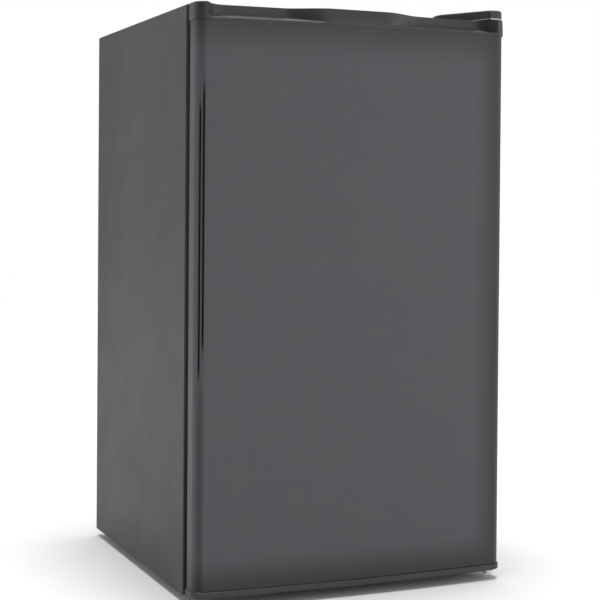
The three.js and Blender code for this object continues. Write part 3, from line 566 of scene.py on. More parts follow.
def thickened(piece, thickness, facing):
    """Gives a skin its thickness, on its inner side; it is turned over where facing is below nought."""
    if facing < 0:
        piece.data.flip_normals()
    thick = piece.modifiers.new("sheet", "SOLIDIFY")
    thick.thickness = thickness
    thick.offset = -1
    settled(piece)


def facing_back(piece):
    """Above nought where most of a skin's faces look to the back."""
    return sum(p.normal.y for p in piece.data.polygons)


WELD = 0.002 * MM  # corners of the CAD mesh closer than this are one corner
FLAT_ANGLE = math.radians(0.6)  # faces of the CAD mesh that meet at less than this are one face


def from_cad(node, body, slot, bevel=0.6 * MM, segments=2, subdivide=0):
    """The CAD node's own shape with merged faces and softened edges."""
    made = bmesh.new()
    made.from_mesh(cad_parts[node].data)
    bmesh.ops.remove_doubles(made, verts=made.verts, dist=WELD)
    if subdivide:
        bmesh.ops.join_triangles(
            made, faces=made.faces, angle_face_threshold=0.5, angle_shape_threshold=0.9, cmp_seam=False
        )
    else:
        bmesh.ops.dissolve_limit(
            made, angle_limit=FLAT_ANGLE, verts=made.verts, edges=made.edges, use_dissolve_boundaries=False
        )
    bmesh.ops.recalc_face_normals(made, faces=made.faces)
    piece = object_of(node + "_formed", made)
    if subdivide:
        rounder = piece.modifiers.new("round", "SUBSURF")
        rounder.levels = rounder.render_levels = subdivide
        return finished(settled(piece), body, slot, [node])
    return finished(piece, body, slot, [node], bevel=bevel, segments=segments)


# ---------- door ----------
BOW_STEPS = 120


def side_steps(start, end, count):
    return [start + (end - start) * i / count for i in range(count)]


def door_path(inset, corner_angles):
    """Round the door in plan from its back left edge to its back right one: (x, y), inward direction."""
    half = HALF - inset
    radius = BOW_RADIUS - inset
    corner = DOOR_CORNER - inset
    centre_x = half - corner
    centre_y = BOW_CENTRE - math.sqrt((radius - corner) ** 2 - centre_x**2)
    lean = math.asin(centre_x / (radius - corner))
    limit = 270 - math.degrees(lean)
    left = [a for a in corner_angles if a < limit - 0.05]
    path = [((-half, y), (1, 0)) for y in side_steps(DOOR_BACK, centre_y, 4)]
    for angle in map(math.radians, left):
        out = (math.cos(angle), math.sin(angle))
        path.append(((-centre_x + corner * out[0], centre_y + corner * out[1]), (-out[0], -out[1])))
    for i in range(BOW_STEPS + 1):
        angle = lean * (2 * i / BOW_STEPS - 1)
        inward = (-math.sin(angle), math.cos(angle))
        path.append(((radius * math.sin(angle), BOW_CENTRE - radius * math.cos(angle)), inward))
    for angle in (math.radians(540 - a) for a in reversed(left)):
        out = (math.cos(angle), math.sin(angle))
        path.append(((centre_x + corner * out[0], centre_y + corner * out[1]), (-out[0], -out[1])))
    path += [((half, y), (-1, 0)) for y in reversed(side_steps(DOOR_BACK, centre_y, 4))]
    return path


def even_angles(step):
    return [180 + step * i for i in range(int(90 / step) + 1)]


GROOVES = (  # angle round the left corner, lowest and highest point
    (230.5, 0.304, 0.722),
    (250.5, 0.344, 0.748),
)
GROOVE_WIDTH = 6.0  # degrees to each side
GROOVE_DEPTH = 1.1 * MM
GROOVE_FADE = 38 * MM
# Strength of the painted shade on the door's left corner, below the grip grooves.
CORNER_SHADE = 0.33
CORNER_SHADE_MIDDLE = 238.0  # degrees round the corner
CORNER_SHADE_WIDTH = 26.0
CORNER_SHADE_TOP = (0.28, 0.335)  # heights at which the shade starts to fade and is gone
FINE_ROW = 0.004  # spacing of the steel's rows where a groove begins or ends
PANEL_REACH = 1.2 * MM  # the steel stands back past the door's other pieces
FRONT_REACH = 1.3 * MM  # the bowed face is nearly flush with the end caps


def groove_angles():
    """Corner angles, close together across each grip groove."""
    angles = set(even_angles(3.0))
    for middle, _, _ in GROOVES:
        angles |= {middle + GROOVE_WIDTH * i / 8 for i in range(-8, 9)}
    return sorted(angles)


def groove_depth(angle, z):
    depth = 0.0
    for middle, low, high in GROOVES:
        across = max(0.0, 1 - ((angle - middle) / GROOVE_WIDTH) ** 2)
        lengthwise = smoothstep(z, low, low + GROOVE_FADE) * (1 - smoothstep(z, high - GROOVE_FADE, high))
        depth = max(depth, math.sqrt(across) * lengthwise)
    return depth


def corner_shade(angle, z):
    """Share of painted shade on the door's left corner, below the grip grooves."""
    across = max(0.0, 1 - ((angle - CORNER_SHADE_MIDDLE) / CORNER_SHADE_WIDTH) ** 2)
    return CORNER_SHADE * across * (1 - smoothstep(z, *CORNER_SHADE_TOP))


def door_panel():
    """Bowed steel sheet, folded round the sides and in behind."""
    path = door_path(OVERHANG, groove_angles())
    low, high = PANEL_LOW.z, PANEL_HIGH.z
    skirt = 12 * MM
    fold = 1.6 * MM
    rear = DOOR_BACK + PANEL_REACH
    heights = [low, low + 1 * MM, 0.15, 0.25]
    heights += [0.298 + FINE_ROW * i for i in range(22)]
    heights += [0.42, 0.52, 0.62]
    heights += [0.68 + FINE_ROW * i for i in range(18)]
    heights += [0.79, high - 1 * MM, high]
    corner = DOOR_CORNER - OVERHANG
    corner_x = HALF - DOOR_CORNER
    corner_y = BOW_CENTRE - math.sqrt((BOW_RADIUS - DOOR_CORNER) ** 2 - corner_x**2)
    rings = []
    painted_shade_shares = []
    for z in heights:
        outer = []
        for (x, y), (nx, ny) in path:
            y -= FRONT_REACH * ny**4
            angle = math.degrees(math.atan2(y + FRONT_REACH * ny**4 - corner_y, x + corner_x)) % 360
            on_corner = x < -corner_x + 0.02 * MM + corner * 0.35 and 180 < angle < 268
            on_corner = on_corner and y < corner_y
            share = groove_depth(angle, z) if on_corner else 0.0
            outer.append((x + nx * share * GROOVE_DEPTH, y + ny * share * GROOVE_DEPTH, z))
            # Painted shade for the groove attribute: the groove's depth share, or the corner's painted
            # shade where that is stronger.
            painted_shade_shares.append(max(share, corner_shade(angle, z)) if on_corner else 0.0)
        inner = [(x + nx * SHEET, y + ny * SHEET - FRONT_REACH * ny**4, z) for (x, y), (nx, ny) in path]
        half = HALF - OVERHANG
        bend = [(p[0] - half, p[1] + rear) for p in arc(fold, -fold, fold, 180, 90, 4)]
        inside = arc(fold, -fold, fold - SHEET + 0.3 * MM, 180, 90, 4)
        inner_bend = [(p[0] - half, p[1] + rear) for p in inside]
        left_out = [(x, y, z) for x, y in bend] + [(-half + skirt, rear, z)]
        left_in = [(-half + skirt, rear - SHEET, z)] + [(x, y, z) for x, y in reversed(inner_bend)]
        right_out = [(-x, y, z) for x, y, z in left_out]
        right_in = [(-x, y, z) for x, y, z in left_in]
        loop = list(reversed(left_out)) + outer[1:-1] + right_out
        loop += right_in + list(reversed(inner))[1:-1] + list(reversed(left_in))
        rings.append(loop)
    count = len(rings[0])
    lead = len(left_out)
    per_row = len(path)
    made = skin(rings)
    piece = object_of("door_front_panel", made)
    # The groove attribute carries painted shade, dark in the grip grooves and on the corner below them.
    marks = piece.data.attributes.new("groove", "FLOAT", "POINT")
    values = [0.0] * len(piece.data.vertices)
    for row in range(len(heights)):
        for i in range(1, per_row - 1):
            values[row * count + lead + i - 1] = painted_shade_shares[row * per_row + i]
    marks.data.foreach_set("value", values)
    return finished(piece, "door", "black_steel", ["door_panel"], look=DOOR_PAINT_WITH_SHADE)


SCOOP_DEPTH = 29 * MM
PAD_HALF = 44 * MM
RAMP_END = 112 * MM
SCOOP_FLAT_END = 178 * MM
SCOOP_END = 229 * MM
PAD_LEAN = 4 * MM
SCOOP_FILLET = 10 * MM
CAP_LEDGE = 4.6 * MM
CAP_ROUND = 1.1 * MM


def scoop_depth(x):
    """Depth of a finger scoop: it opens slowly from the pad and ends in a steep edge."""
    ramp = smoothstep(x, PAD_HALF, RAMP_END)
    from_end = min(1.0, max(0.0, (SCOOP_END - x) / (SCOOP_END - SCOOP_FLAT_END)))
    wall = 1 - (1 - from_end) ** 4
    return max(SCOOP_DEPTH * min(ramp, wall), 0.03 * MM)


def cap_profile(x, on_bow):
    """Outer face of the top cap at x, from its lower edge up to its top: (distance inward, z)."""
    low, top = CAP_LOW.z, CAP_HIGH.z
    ledge = low + CAP_LEDGE
    depth = scoop_depth(abs(x)) if on_bow else 0.03 * MM
    lip = 3.4 * MM
    lip_in = min(lip, depth / 2)
    fillet = SCOOP_FILLET * min(1.0, depth / SCOOP_DEPTH)
    fillet_in = min(fillet, depth / 2)
    lean = PAD_LEAN * (1 - smoothstep(abs(x), PAD_HALF, RAMP_END)) if on_bow else 0.0
    foot = OVERHANG - FRONT_REACH if on_bow else OVERHANG
    profile = [(foot, low - 0.2 * MM), (foot * 0.5, low + 0.1 * MM), (0.05 * MM, low + 0.5 * MM)]
    profile += [(lip_in * (1 - cos), ledge - lip + lip * sin) for cos, sin in quarter(4)]
    profile += [(depth - fillet_in * (1 - sin), ledge + fillet * (1 - cos)) for cos, sin in quarter(4)]
    start, stop = ledge + fillet, top - CAP_ROUND
    for i in range(1, 7):
        t = i / 6
        profile.append((depth + (lean + 0.6 * MM) * t**1.4, start + (stop - start) * t))
    reach = profile[-1][0]
    profile += [(reach + CAP_ROUND * (1 - cos), stop + CAP_ROUND * sin) for cos, sin in quarter(5)[1:]]
    return profile


def closed_along(rows):
    """A solid from rows of equal length: its top, bottom and back are single faces."""
    made = bmesh.new()
    verts = [[made.verts.new(p) for p in row] for row in rows]
    for a, b in zip(verts, verts[1:]):
        for j in range(len(a) - 1):
            made.faces.new((a[j], a[j + 1], b[j + 1], b[j]))
    made.faces.new([row[0] for row in verts])
    made.faces.new([row[-1] for row in reversed(verts)])
    made.faces.new(verts[0] + list(reversed(verts[-1])))
    bmesh.ops.recalc_face_normals(made, faces=made.faces)
    return made


def door_top_cap():
    path = door_path(0, even_angles(3))
    rows = []
    for (x, y), (nx, ny) in path:
        on_bow = abs(x) < SCOOP_END
        straight_in = on_bow and scoop_depth(abs(x)) > 0.05 * MM
        dx, dy = (0, 1) if straight_in else (nx, ny)
        side = abs(nx) > 0.999
        rows.append([(x + dx * d, y + dy * d * (0 if side else 1), z) for d, z in cap_profile(x, on_bow)])
    piece = object_of("door_upper_cap", closed_along(rows))
    return finished(piece, "door", "black_plastic", ["door_top_cap"])


def door_bottom_cap():
    low, _ = box("door_bottom_cap")
    top = PANEL_LOW.z - 0.3 * MM
    bottom_round = 2.2 * MM
    profile = [(OVERHANG, top), (OVERHANG * 0.5, top - 0.9 * MM)]
    profile += [(0.1 * MM, top - 1.7 * MM), (0, top - 3 * MM)]
    profile += [(bottom_round * (1 - cos), low.z + bottom_round * (1 - sin)) for cos, sin in quarter(5)]
    rows = []
    for (x, y), (nx, ny) in door_path(0, even_angles(6)):
        rows.append([(x + nx * d, y + ny * d, z) for d, z in profile])
    piece = object_of("door_lower_cap", closed_along(rows))
    return finished(piece, "door", "black_plastic", ["door_bottom_cap"])


def cap_plug():
    low, high, centre = place_of("door_cap_plug")
    radius = (high.x - low.x) / 2
    top = CAP_HIGH.z
    profile = [(0, top - 6 * MM), (radius - 2 * MM, top - 6 * MM), (radius - 2 * MM, top + 0.02 * MM)]
    profile += [(radius, top + 0.02 * MM), (radius, top + 0.3 * MM), (radius - 0.6 * MM, top + 0.9 * MM)]
    profile += [(radius * 0.6, top + 1.2 * MM), (0, top + 1.3 * MM)]
    piece = object_of("door_bore_plug", lathe(profile, 48, (centre.x, centre.y, 0)))
    return finished(piece, "door", "black_plastic", ["door_cap_plug"])


def bush(node):
    low, high, centre = place_of(node)
    upper = centre.z > MID_HEIGHT
    length = high.z - low.z
    profile = in_mm([(4.3, 0), (8.6, 0), (9, 0.4), (9, 1.7), (7, 1.7)])
    profile += in_mm([(7, -1), (6, 0), (0, 0), (0, -1.2), (4.3, -1.2)], length)
    mouth = (centre.x, centre.y, high.z if upper else low.z)
    made = lathe(profile, 40, mouth, "-Z" if upper else "Z")
    return finished(object_of(node + "_turned", made), "door", "white_plastic", [node])


def door_liner():
    """Vacuum-formed sheet with the ridge that enters the cabinet; small lugs carry the racks."""
    low, high = box("door_liner")
    reach = high.y - DOOR_BACK
    half, bottom, top = 206 * MM, 52 * MM, 804 * MM
    width = 22 * MM
    steps = []  # inset from the ridge's outer foot, height over the back of the door
    fillet = 4 * MM
    edge = 5 * MM
    draft = 1.5 * MM
    steps += [(-fillet + fillet * sin, fillet * (1 - cos)) for cos, sin in quarter(5)]
    steps += [(draft + edge * (1 - cos), reach - edge + edge * sin) for cos, sin in quarter(5)]
    mirrored = [(width - inset, height) for inset, height in reversed(steps)]
    loops = [upright(round_box(low.x, high.x, low.z, high.z, 3 * MM), DOOR_BACK)]
    for inset, height in steps + mirrored:
        loop = inset_box(-half, half, bottom, top, inset, 22 * MM - inset * 0.4)
        loops.append(upright(loop, DOOR_BACK + height))
    for inset, height in ((40, 0), (52, 0), (56, 1.2), (60, 2.4), (66, 2.8)):
        inset *= MM
        loop = inset_box(-half, half, bottom, top, inset, 16 * MM)
        loops.append(upright(loop, DOOR_BACK + height * MM))
    made = skin(loops, ends=(False, True))
    piece = object_of("door_inner_liner", made)
    thickened(piece, 1.8 * MM, facing_back(piece))
    lugs = []
    for rack in RACKS:
        rack_low, _ = box(rack)
        for side in (-1, 1):
            across = sorted((side * 177.6 * MM, side * 188 * MM))
            upward = (rack_low.z - 6 * MM, rack_low.z - 0.3 * MM)
            lugs.append(block(*across, DOOR_BACK - 1 * MM, DOOR_BACK + 22 * MM, *upward, 1.4 * MM))
    joined(piece, lugs)
    return finished(piece, "door", "white_plastic", ["door_liner"])


def door_foam():
    """The foam behind the steel, levelled off so that it stays inside the liner's rounded ridge."""
    made = bmesh.new()
    made.from_mesh(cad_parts["door_foam"].data)
    bmesh.ops.remove_doubles(made, verts=made.verts, dist=WELD)
    level_top = DOOR_BACK - 2.5 * MM
    for v in made.verts:
        v.co.y = min(v.co.y, level_top)
    bmesh.ops.dissolve_degenerate(made, edges=made.edges, dist=0.01 * MM)
    bmesh.ops.dissolve_limit(made, angle_limit=FLAT_ANGLE, verts=made.verts, edges=made.edges)
    bmesh.ops.recalc_face_normals(made, faces=made.faces)
    return finished(object_of("door_foam_core", made), "door", "foam", ["door_foam"])


RACKS = ("door_rack_upper", "door_rack_middle", "door_rack_bottle")


def door_rack(node):
    """A moulded bin: soft corners, a thick rim and a stepped front band."""
    low, high = box(node)
    wall = 2.2 * MM
    tall = (high.z - low.z) / MM
    outside = in_mm([
        (5, 0), (2.4, 0.7), (1.2, 2.2), (0.9, 5), (0.8, tall * 0.34), (0.2, tall * 0.38),
        (0.1, tall * 0.66), (0.7, tall * 0.70), (0.5, tall - 6), (0.5, tall - 5.4), (0, tall - 5),
        (0, tall - 0.8), (0.5, tall),
    ], low.z)
    inside = in_mm([(2.2, 0), (2.9, -0.8), (3.0, -6)], high.z) + in_mm([(3.4, 8), (4.0, 4)], low.z)
    inside.append((6.5 * MM, low.z + wall))
    rings = []
    for inset, z in outside + inside:
        loop = inset_box(low.x, high.x, low.y, high.y, inset, 14 * MM - inset * 0.5, 8)
        rings.append(level(loop, z))
    piece = object_of(node + "_moulded", skin(rings))
    return finished(piece, "door", "clear_plastic", [node])


def door_gasket():
    """Magnetic seal: a soft bellows ring with its magnet bead against the cabinet."""
    low, high = box("door_gasket")
    depth = high.y - low.y
    section = [  # inset, share of the depth
        (1.0, 0.0), (0.2, 0.06), (0.0, 0.18), (0.5, 0.28), (2.6, 0.36), (3.4, 0.42), (2.6, 0.48),
        (0.6, 0.54), (0.0, 0.62), (0.0, 0.86), (0.5, 0.96), (1.6, 1.0), (8.0, 1.0), (14.5, 1.0),
        (15.6, 0.96), (16.0, 0.84), (15.6, 0.66), (14.2, 0.56), (15.0, 0.44), (17.2, 0.30), (18.0, 0.18),
        (17.6, 0.06), (16.6, 0.0),
    ]
    rings = []
    for inset, share in section:
        inset *= MM
        loop = inset_box(low.x, high.x, low.z, high.z, inset, 2 * MM + inset * 0.2)
        rings.append(upright(loop, low.y + share * depth))
    piece = object_of("door_seal", skin(rings, wrap=True))
    return finished(piece, "door", "rubber", ["door_gasket"], sharp=60)


# ---------- cabinet ----------
def cabinet_wrap():
    """One folded sheet: two sides and the top, with flanges in front and behind."""
    low, high = WRAP_LOW, WRAP_HIGH
    corner = 4 * MM
    fold = 1.7 * MM

    def outline(inset, y):
        radius = max(corner - inset, 0.05 * MM)
        half, top = HALF - inset, high.z - inset
        turn = arc(-half + radius, top - radius, radius, 180, 90, 8)
        over = [(x, z) for x, z in turn] + [(-x, z) for x, z in reversed(turn)]
        left = [(-half, y, low.z), (-half, y, MID_HEIGHT)]
        right = [(half, y, MID_HEIGHT), (half, y, low.z)]
        return left + [(x, y, z) for x, z in over] + right

    section = [(FLANGE, FACE)]
    section += [(fold - fold * math.sin(a), FACE + fold - fold * math.cos(a)) for a in angles(0, 90, 6)]
    section += [(0, FACE + 60 * MM), (0, BACK - 60 * MM)]
    section += [(fold - fold * math.cos(a), BACK - fold + fold * math.sin(a)) for a in angles(0, 90, 6)]
    section += [(REAR_FLANGE, BACK), (REAR_FLANGE, BACK - SHEET)]
    inner = fold - SHEET
    section += [(fold - inner * math.cos(a), BACK - fold + inner * math.sin(a)) for a in angles(90, 0, 3)]
    section += [(fold - inner * math.sin(a), FACE + fold - inner * math.cos(a)) for a in angles(90, 0, 3)]
    section += [(FLANGE, FACE + SHEET)]
    rings = [outline(inset, y) for inset, y in section]
    columns = [list(column) for column in zip(*rings)]
    piece = object_of("cabinet_outer_wrap", skin(columns))
    return finished(piece, "cabinet", "black_steel", ["cabinet_wrap"])


def angles(start, end, steps):
    return [math.radians(start + (end - start) * i / steps) for i in range(steps + 1)]


def back_panel():
    """Flat steel back with a shallow raised band round it."""
    low, high = box("back_panel")
    loops = []
    pressing = (  # inset, height of the pressed field
        (0, 0), (22, 0), (24, 0.3), (27, 1.0), (29, 1.3),
        (60, 1.3), (62, 1.0), (64, 0.4), (66, 0.1), (68, 0),
    )
    for inset, out in pressing:
        inset *= MM
        loop = inset_box(low.x, high.x, low.z, high.z, inset, 14 * MM)
        loops.append(upright(loop, high.y + out * MM))
    made = skin(loops, ends=(False, True))
    piece = object_of("rear_panel", made)
    thickened(piece, high.y - low.y, facing_back(piece))
    return finished(piece, "cabinet", "galvanised_steel", ["back_panel"])


ROOM_HALF = 211.5 * MM
ROOM_FLOOR = 45 * MM
ROOM_CEILING = 811 * MM
ROOM_BACK = 222 * MM
STEP_FRONT = 55 * MM
STEP_TOP = 218 * MM
SHELF_HEIGHTS = (268 * MM, 368 * MM, 468 * MM)
TRAY_RAIL = 648 * MM
ROOM_CORNER = 13 * MM
LIP = 8.6 * MM  # how far the liner's front lip reaches round the opening
LIP_ROUND = 3 * MM
AT_FACE = 1e-6  # a corner this close to the face lies on it


def on_face(vert):
    return abs(vert.co.y - FACE) < AT_FACE


def turn_lip(made):
    """The liner's front edge turns outwards in a soft lip that lies on the cabinet's face."""
    for v in made.verts:
        if on_face(v):
            v.co.y += LIP_ROUND
    for share_out, back in ((0.29, 0.29), (1.0, 1.0), (None, 1.0)):
        edges = [e for e in made.edges if e.is_boundary]
        grown = bmesh.ops.extrude_edge_only(made, edges=edges)
        for v in [v for v in grown["geom"] if isinstance(v, bmesh.types.BMVert)]:
            core_x = min(max(v.co.x, -ROOM_HALF + ROOM_CORNER), ROOM_HALF - ROOM_CORNER)
            core_z = min(max(v.co.z, ROOM_FLOOR + ROOM_CORNER), ROOM_CEILING - ROOM_CORNER)
            base = Vector((v.co.x - core_x, 0, v.co.z - core_z)).normalized()
            if share_out is None:
                square = base / max(abs(base.x), abs(base.z))  # square corners, tucked behind the steel
                target = Vector((core_x, 0, core_z)) + square * (ROOM_CORNER + LIP)
            else:
                target = Vector((core_x, 0, core_z)) + base * (ROOM_CORNER + LIP_ROUND * share_out)
                v.co.y = FACE + LIP_ROUND * (1 - back)
            v.co.x, v.co.z = target.x, target.z


def ledges():
    """Two rows of shelf ledges and the tray's rails, on both side walls."""
    made = []
    for side in (-1, 1):
        for top, reach in [(top, 6 * MM) for top in SHELF_HEIGHTS] + [(TRAY_RAIL, 12 * MM)]:
            across = sorted((side * (ROOM_HALF - reach), side * (ROOM_HALF + 1 * MM)))
            made.append(block(*across, -110 * MM, ROOM_BACK + 1 * MM, top - 8 * MM, top, 1.5 * MM))
    return made


def inner_liner():
    """The food compartment: a vacuum-formed shell with rounded corners, shelf ledges and tray rails."""
    outline = [
        (FACE, ROOM_FLOOR), (STEP_FRONT, ROOM_FLOOR), (STEP_FRONT, STEP_TOP), (ROOM_BACK, STEP_TOP),
        (ROOM_BACK, ROOM_CEILING), (FACE, ROOM_CEILING),
    ]
    made = skin([[(x, y, z) for y, z in outline] for x in (-ROOM_HALF, ROOM_HALF)])
    soft = [e for e in made.edges if not all(on_face(v) for v in e.verts)]
    bmesh.ops.bevel(
        made, geom=soft, offset=ROOM_CORNER, segments=6, profile=0.5, affect="EDGES", clamp_overlap=True
    )
    front = [f for f in made.faces if all(on_face(v) for v in f.verts)]
    bmesh.ops.delete(made, geom=front, context="FACES")
    turn_lip(made)
    bmesh.ops.recalc_face_normals(made, faces=made.faces)
    piece = object_of("food_liner", made)
    centre = Vector((0, 0, MID_HEIGHT))
    thickened(piece, 1.9 * MM, sum((centre - p.center).dot(p.normal) for p in piece.data.polygons))
    joined(piece, ledges())
    return finished(piece, "cabinet", "white_plastic", ["inner_liner"])


HINGE_PLATE = 1.4 * MM  # the bright edge that shows under the cover


def hinge_cover():
    """Moulded cover over the top hinge, square behind and slanting in at the front left."""
    low, high = box("top_hinge_cover")

    def plan(inset):
        left, right = low.x + 5 * MM + inset * 1.3, HALF - inset
        front, back = low.y + inset, high.y - inset
        corner = 11 * MM - inset
        corner_left = 2 * MM
        slant = Vector((left, FACE + 46 * MM))
        tip = Vector((222 * MM + inset * 0.6, front))
        edge = (tip - slant).normalized()
        loop = [(left + 2 * MM, back), (left, back - 2 * MM)]
        loop += [tuple(slant + Vector((0, 1)) * corner_left), tuple(slant + edge * corner_left)]
        loop += [tuple(tip - edge * 5 * MM), tuple(tip - edge * 1.5 * MM)]
        loop.append(tuple(tip + Vector((2 * MM, 0))))
        loop += arc(right - corner, front + corner, corner, 270, 360, 10)
        loop += [(right, back - 2 * MM), (right - 2 * MM, back)]
        return loop

    def rim(inset, z):
        """The cover's lower edge: it stands clear of the hinge plate where it overhangs the door."""
        return [(x, y, z + (HINGE_PLATE if y < FACE else 0)) for x, y in plan(inset)]

    wall = 2 * MM
    edge = 3.6 * MM
    rings = [level(plan(wall), low.z + 0.2 * MM), rim(0, low.z), level(plan(0.05 * MM), low.z + 3 * MM)]
    for cos, sin in quarter(6):
        rings.append(level(plan(0.3 * MM + edge * (1 - cos)), high.z - edge + edge * sin))
    rings.append(level(plan(7 * MM), high.z))
    inside = [rim(wall, low.z + 0.2 * MM), level(plan(wall + 0.2 * MM), high.z - 5 * MM)]
    rings = list(reversed(inside)) + rings[1:]
    piece = object_of("upper_hinge_cover", skin(rings))
    finished(piece, "cabinet", "black_plastic", ["top_hinge_cover"])
    plate = skin([level(plan(1.2 * MM), low.z + start) for start in (0.05 * MM, HINGE_PLATE)])
    finished(object_of("upper_hinge_plate", plate), "cabinet", "zinc_plate")


def hole_plug(node):
    low, high, centre = place_of(node)
    radius = (high.x - low.x) / 2
    seat = WRAP_HIGH.z
    profile = [(0, low.z), (2.7 * MM, low.z), (2.7 * MM, seat + 0.1 * MM), (radius, seat + 0.1 * MM)]
    profile += [(radius, seat + 0.5 * MM), (radius * 0.86, seat + 1.3 * MM)]
    profile += [(radius * 0.55, seat + 1.8 * MM), (0, high.z)]
    piece = object_of(node + "_moulded", lathe(profile, 40, (centre.x, centre.y, 0)))
    return finished(piece, "cabinet", "black_plastic", [node])


def screw(node):
    """A cross-recessed screw; the head faces away from the thread."""
    low, high, centre = place_of(node)
    upper = centre.z > MID_HEIGHT
    length = high.z - low.z
    head = 2 * MM
    shank = length - head
    profile = in_mm([(0, 0), (1.6, 0), (2.3, 1.5)])
    thread = 1.0 * MM
    turns = int((shank - 3 * MM) / thread)
    for i in range(turns):
        z = 1.5 * MM + thread * i
        profile += [(2.6 * MM, z + thread * 0.35), (2.2 * MM, z + thread * 0.8)]
    profile += in_mm([(2.3, 0), (5.4, 0), (5.5, 0.5), (5.0, 1.3), (3.4, 1.85)], shank)
    profile.append((0, length))
    foot = (centre.x, centre.y, low.z if upper else high.z)
    piece = object_of(node + "_threaded", lathe(profile, 32, foot, "Z" if upper else "-Z"))
    top, deep = (high.z + 1 * MM, high.z - 1.3 * MM) if upper else (low.z + 1.3 * MM, low.z - 1 * MM)
    z0, z1 = sorted((top, deep))
    arms = [
        block(*about(centre.x, 2.4), *about(centre.y, 0.45), z0, z1),
        block(*about(centre.x, 0.45), *about(centre.y, 2.4), z0, z1),
    ]
    joined(piece, arms, "DIFFERENCE")
    return finished(piece, "cabinet", "zinc_plate", [node])


def hinge_pin(node):
    low, high, centre = place_of(node)
    upper = centre.z > MID_HEIGHT
    length = high.z - low.z
    profile = in_mm([(0, 0), (2.6, 0), (3.6, 0.9), (4, 2.2)])
    profile += in_mm([(4, -2.2), (6.6, -2.2), (7, -1.8), (7, -0.5), (6.4, 0), (0, 0)], length)
    foot = (centre.x, centre.y, low.z if upper else high.z)
    piece = object_of(node + "_turned", lathe(profile, 40, foot, "Z" if upper else "-Z"))
    return finished(piece, "cabinet", "zinc_plate", [node])


def front_foot(node):
    """Levelling foot: a notched disc on a threaded stud."""
    low, high, centre = place_of(node)
    radius = (high.x - low.x) / 2

    def notched(angle, reach):
        if reach < 12 * MM:
            return reach
        notch = 1.6 * MM * max(0.0, math.cos(4 * (angle - math.pi / 4))) ** 6
        return reach - notch - 0.25 * MM * (0.5 + 0.5 * math.cos(36 * angle))

    profile = [(0, 0), (radius - 2.2 * MM, 0), (radius - 0.6 * MM, 0.6 * MM), (radius, 2 * MM)]
    profile += [(radius, 7 * MM), (radius - 0.9 * MM, 8 * MM), (6 * MM, 8 * MM), (5 * MM, 8.6 * MM)]
    profile += [(4 * MM, 9.2 * MM)]
    pitch = 1.25 * MM
    z = 9.6 * MM
    while z < high.z - pitch:
        profile += [(4 * MM, z), (3.5 * MM, z + pitch / 2)]
        z += pitch
    profile += [(3.5 * MM, high.z - 0.6 * MM), (3 * MM, high.z), (0, high.z)]
    piece = object_of(node + "_moulded", lathe(profile, 144, (centre.x, centre.y, 0), flute=notched))
    return finished(piece, node, "black_plastic", [node], sharp=30)


def rear_foot(node):
    low, high, centre = place_of(node)
    radius = (high.x - low.x) / 2
    profile = in_mm([(0, 0.6), (5, 0.6), (5.6, 0)])
    profile += [(radius - 2 * MM, 0), (radius - 0.5 * MM, 0.7 * MM), (radius, 2 * MM)]
    profile += [(radius * 0.93, 6 * MM), (radius * 0.93, high.z - 1.2 * MM)]
    profile += [(radius * 0.9, high.z), (0, high.z)]
    piece = object_of(node + "_moulded", lathe(profile, 48, (centre.x, centre.y, 0)))
    return finished(piece, "cabinet", "rubber", [node])


# ---------- compressor bay ----------
def compressor():
    """Welded shell with a rolled seam on a pressed four-legged plate."""
    low, high, centre = place_of("compressor")
    plate = low.z
    crown = plate + (high.z - plate)
    profile = [(0, 1), (40, 1), (54, 5), (64, 14), (69, 26), (70, 34), (70, 59), (72, 60.5), (72, 65.5)]
    profile += [(70, 67), (70, 92), (68.5, 101), (64, 109), (54, 117), (40, 122.5), (22, 126)]
    profile = in_mm(profile, plate) + [(0, crown - 2 * MM)]
    piece = object_of("compressor_shell", lathe(profile, 72, (centre.x, centre.y, 0)))
    legs_top = plate + 2.5 * MM
    extras = [
        block(*about(centre.x, 98), *about(centre.y - 48 * MM, 12), plate, legs_top, 1 * MM),
        block(*about(centre.x, 98), *about(centre.y + 48 * MM, 12), plate, legs_top, 1 * MM),
        block(*about(centre.x, 44), *about(centre.y, 50), plate, legs_top, 1 * MM),
        block(low.x + 25 * MM, centre.x - 60 * MM, *about(centre.y, 12), 72 * MM, 96 * MM, 1.5 * MM),
        lathe(in_mm([(0, -6), (9, -6), (8, -1), (6, 0), (0, 0)], crown), 32, (centre.x, centre.y, 0)),
    ]
    joined(piece, extras)
    holes = []
    for i in range(1, 5):
        grommet_place = place_of(f"compressor_grommet_{i}")[2]
        hole = in_mm([(0, -2), (6, -2), (6, 5), (0, 5)], plate)
        holes.append(lathe(hole, 24, (grommet_place.x, grommet_place.y, 0)))
    joined(piece, holes, "DIFFERENCE")
    return finished(piece, "cabinet", "black_enamel", ["compressor"])


def grommet(node):
    low, high, centre = place_of(node)
    plate = box("compressor")[0].z
    profile = in_mm([(0, 0), (9.4, 0), (10, 0.8), (9.2, 3)], low.z)
    profile += in_mm([(10, -1.6), (9.4, -0.4), (5.5, -0.4), (5.5, 2.8), (8.6, 2.8), (9, 3.4)], plate)
    profile += in_mm([(8, 0), (3, 0), (2.6, -0.8), (0, -0.8)], high.z)
    piece = object_of(node + "_moulded", lathe(profile, 36, (centre.x, centre.y, 0)))
    return finished(piece, "cabinet", "rubber", [node])


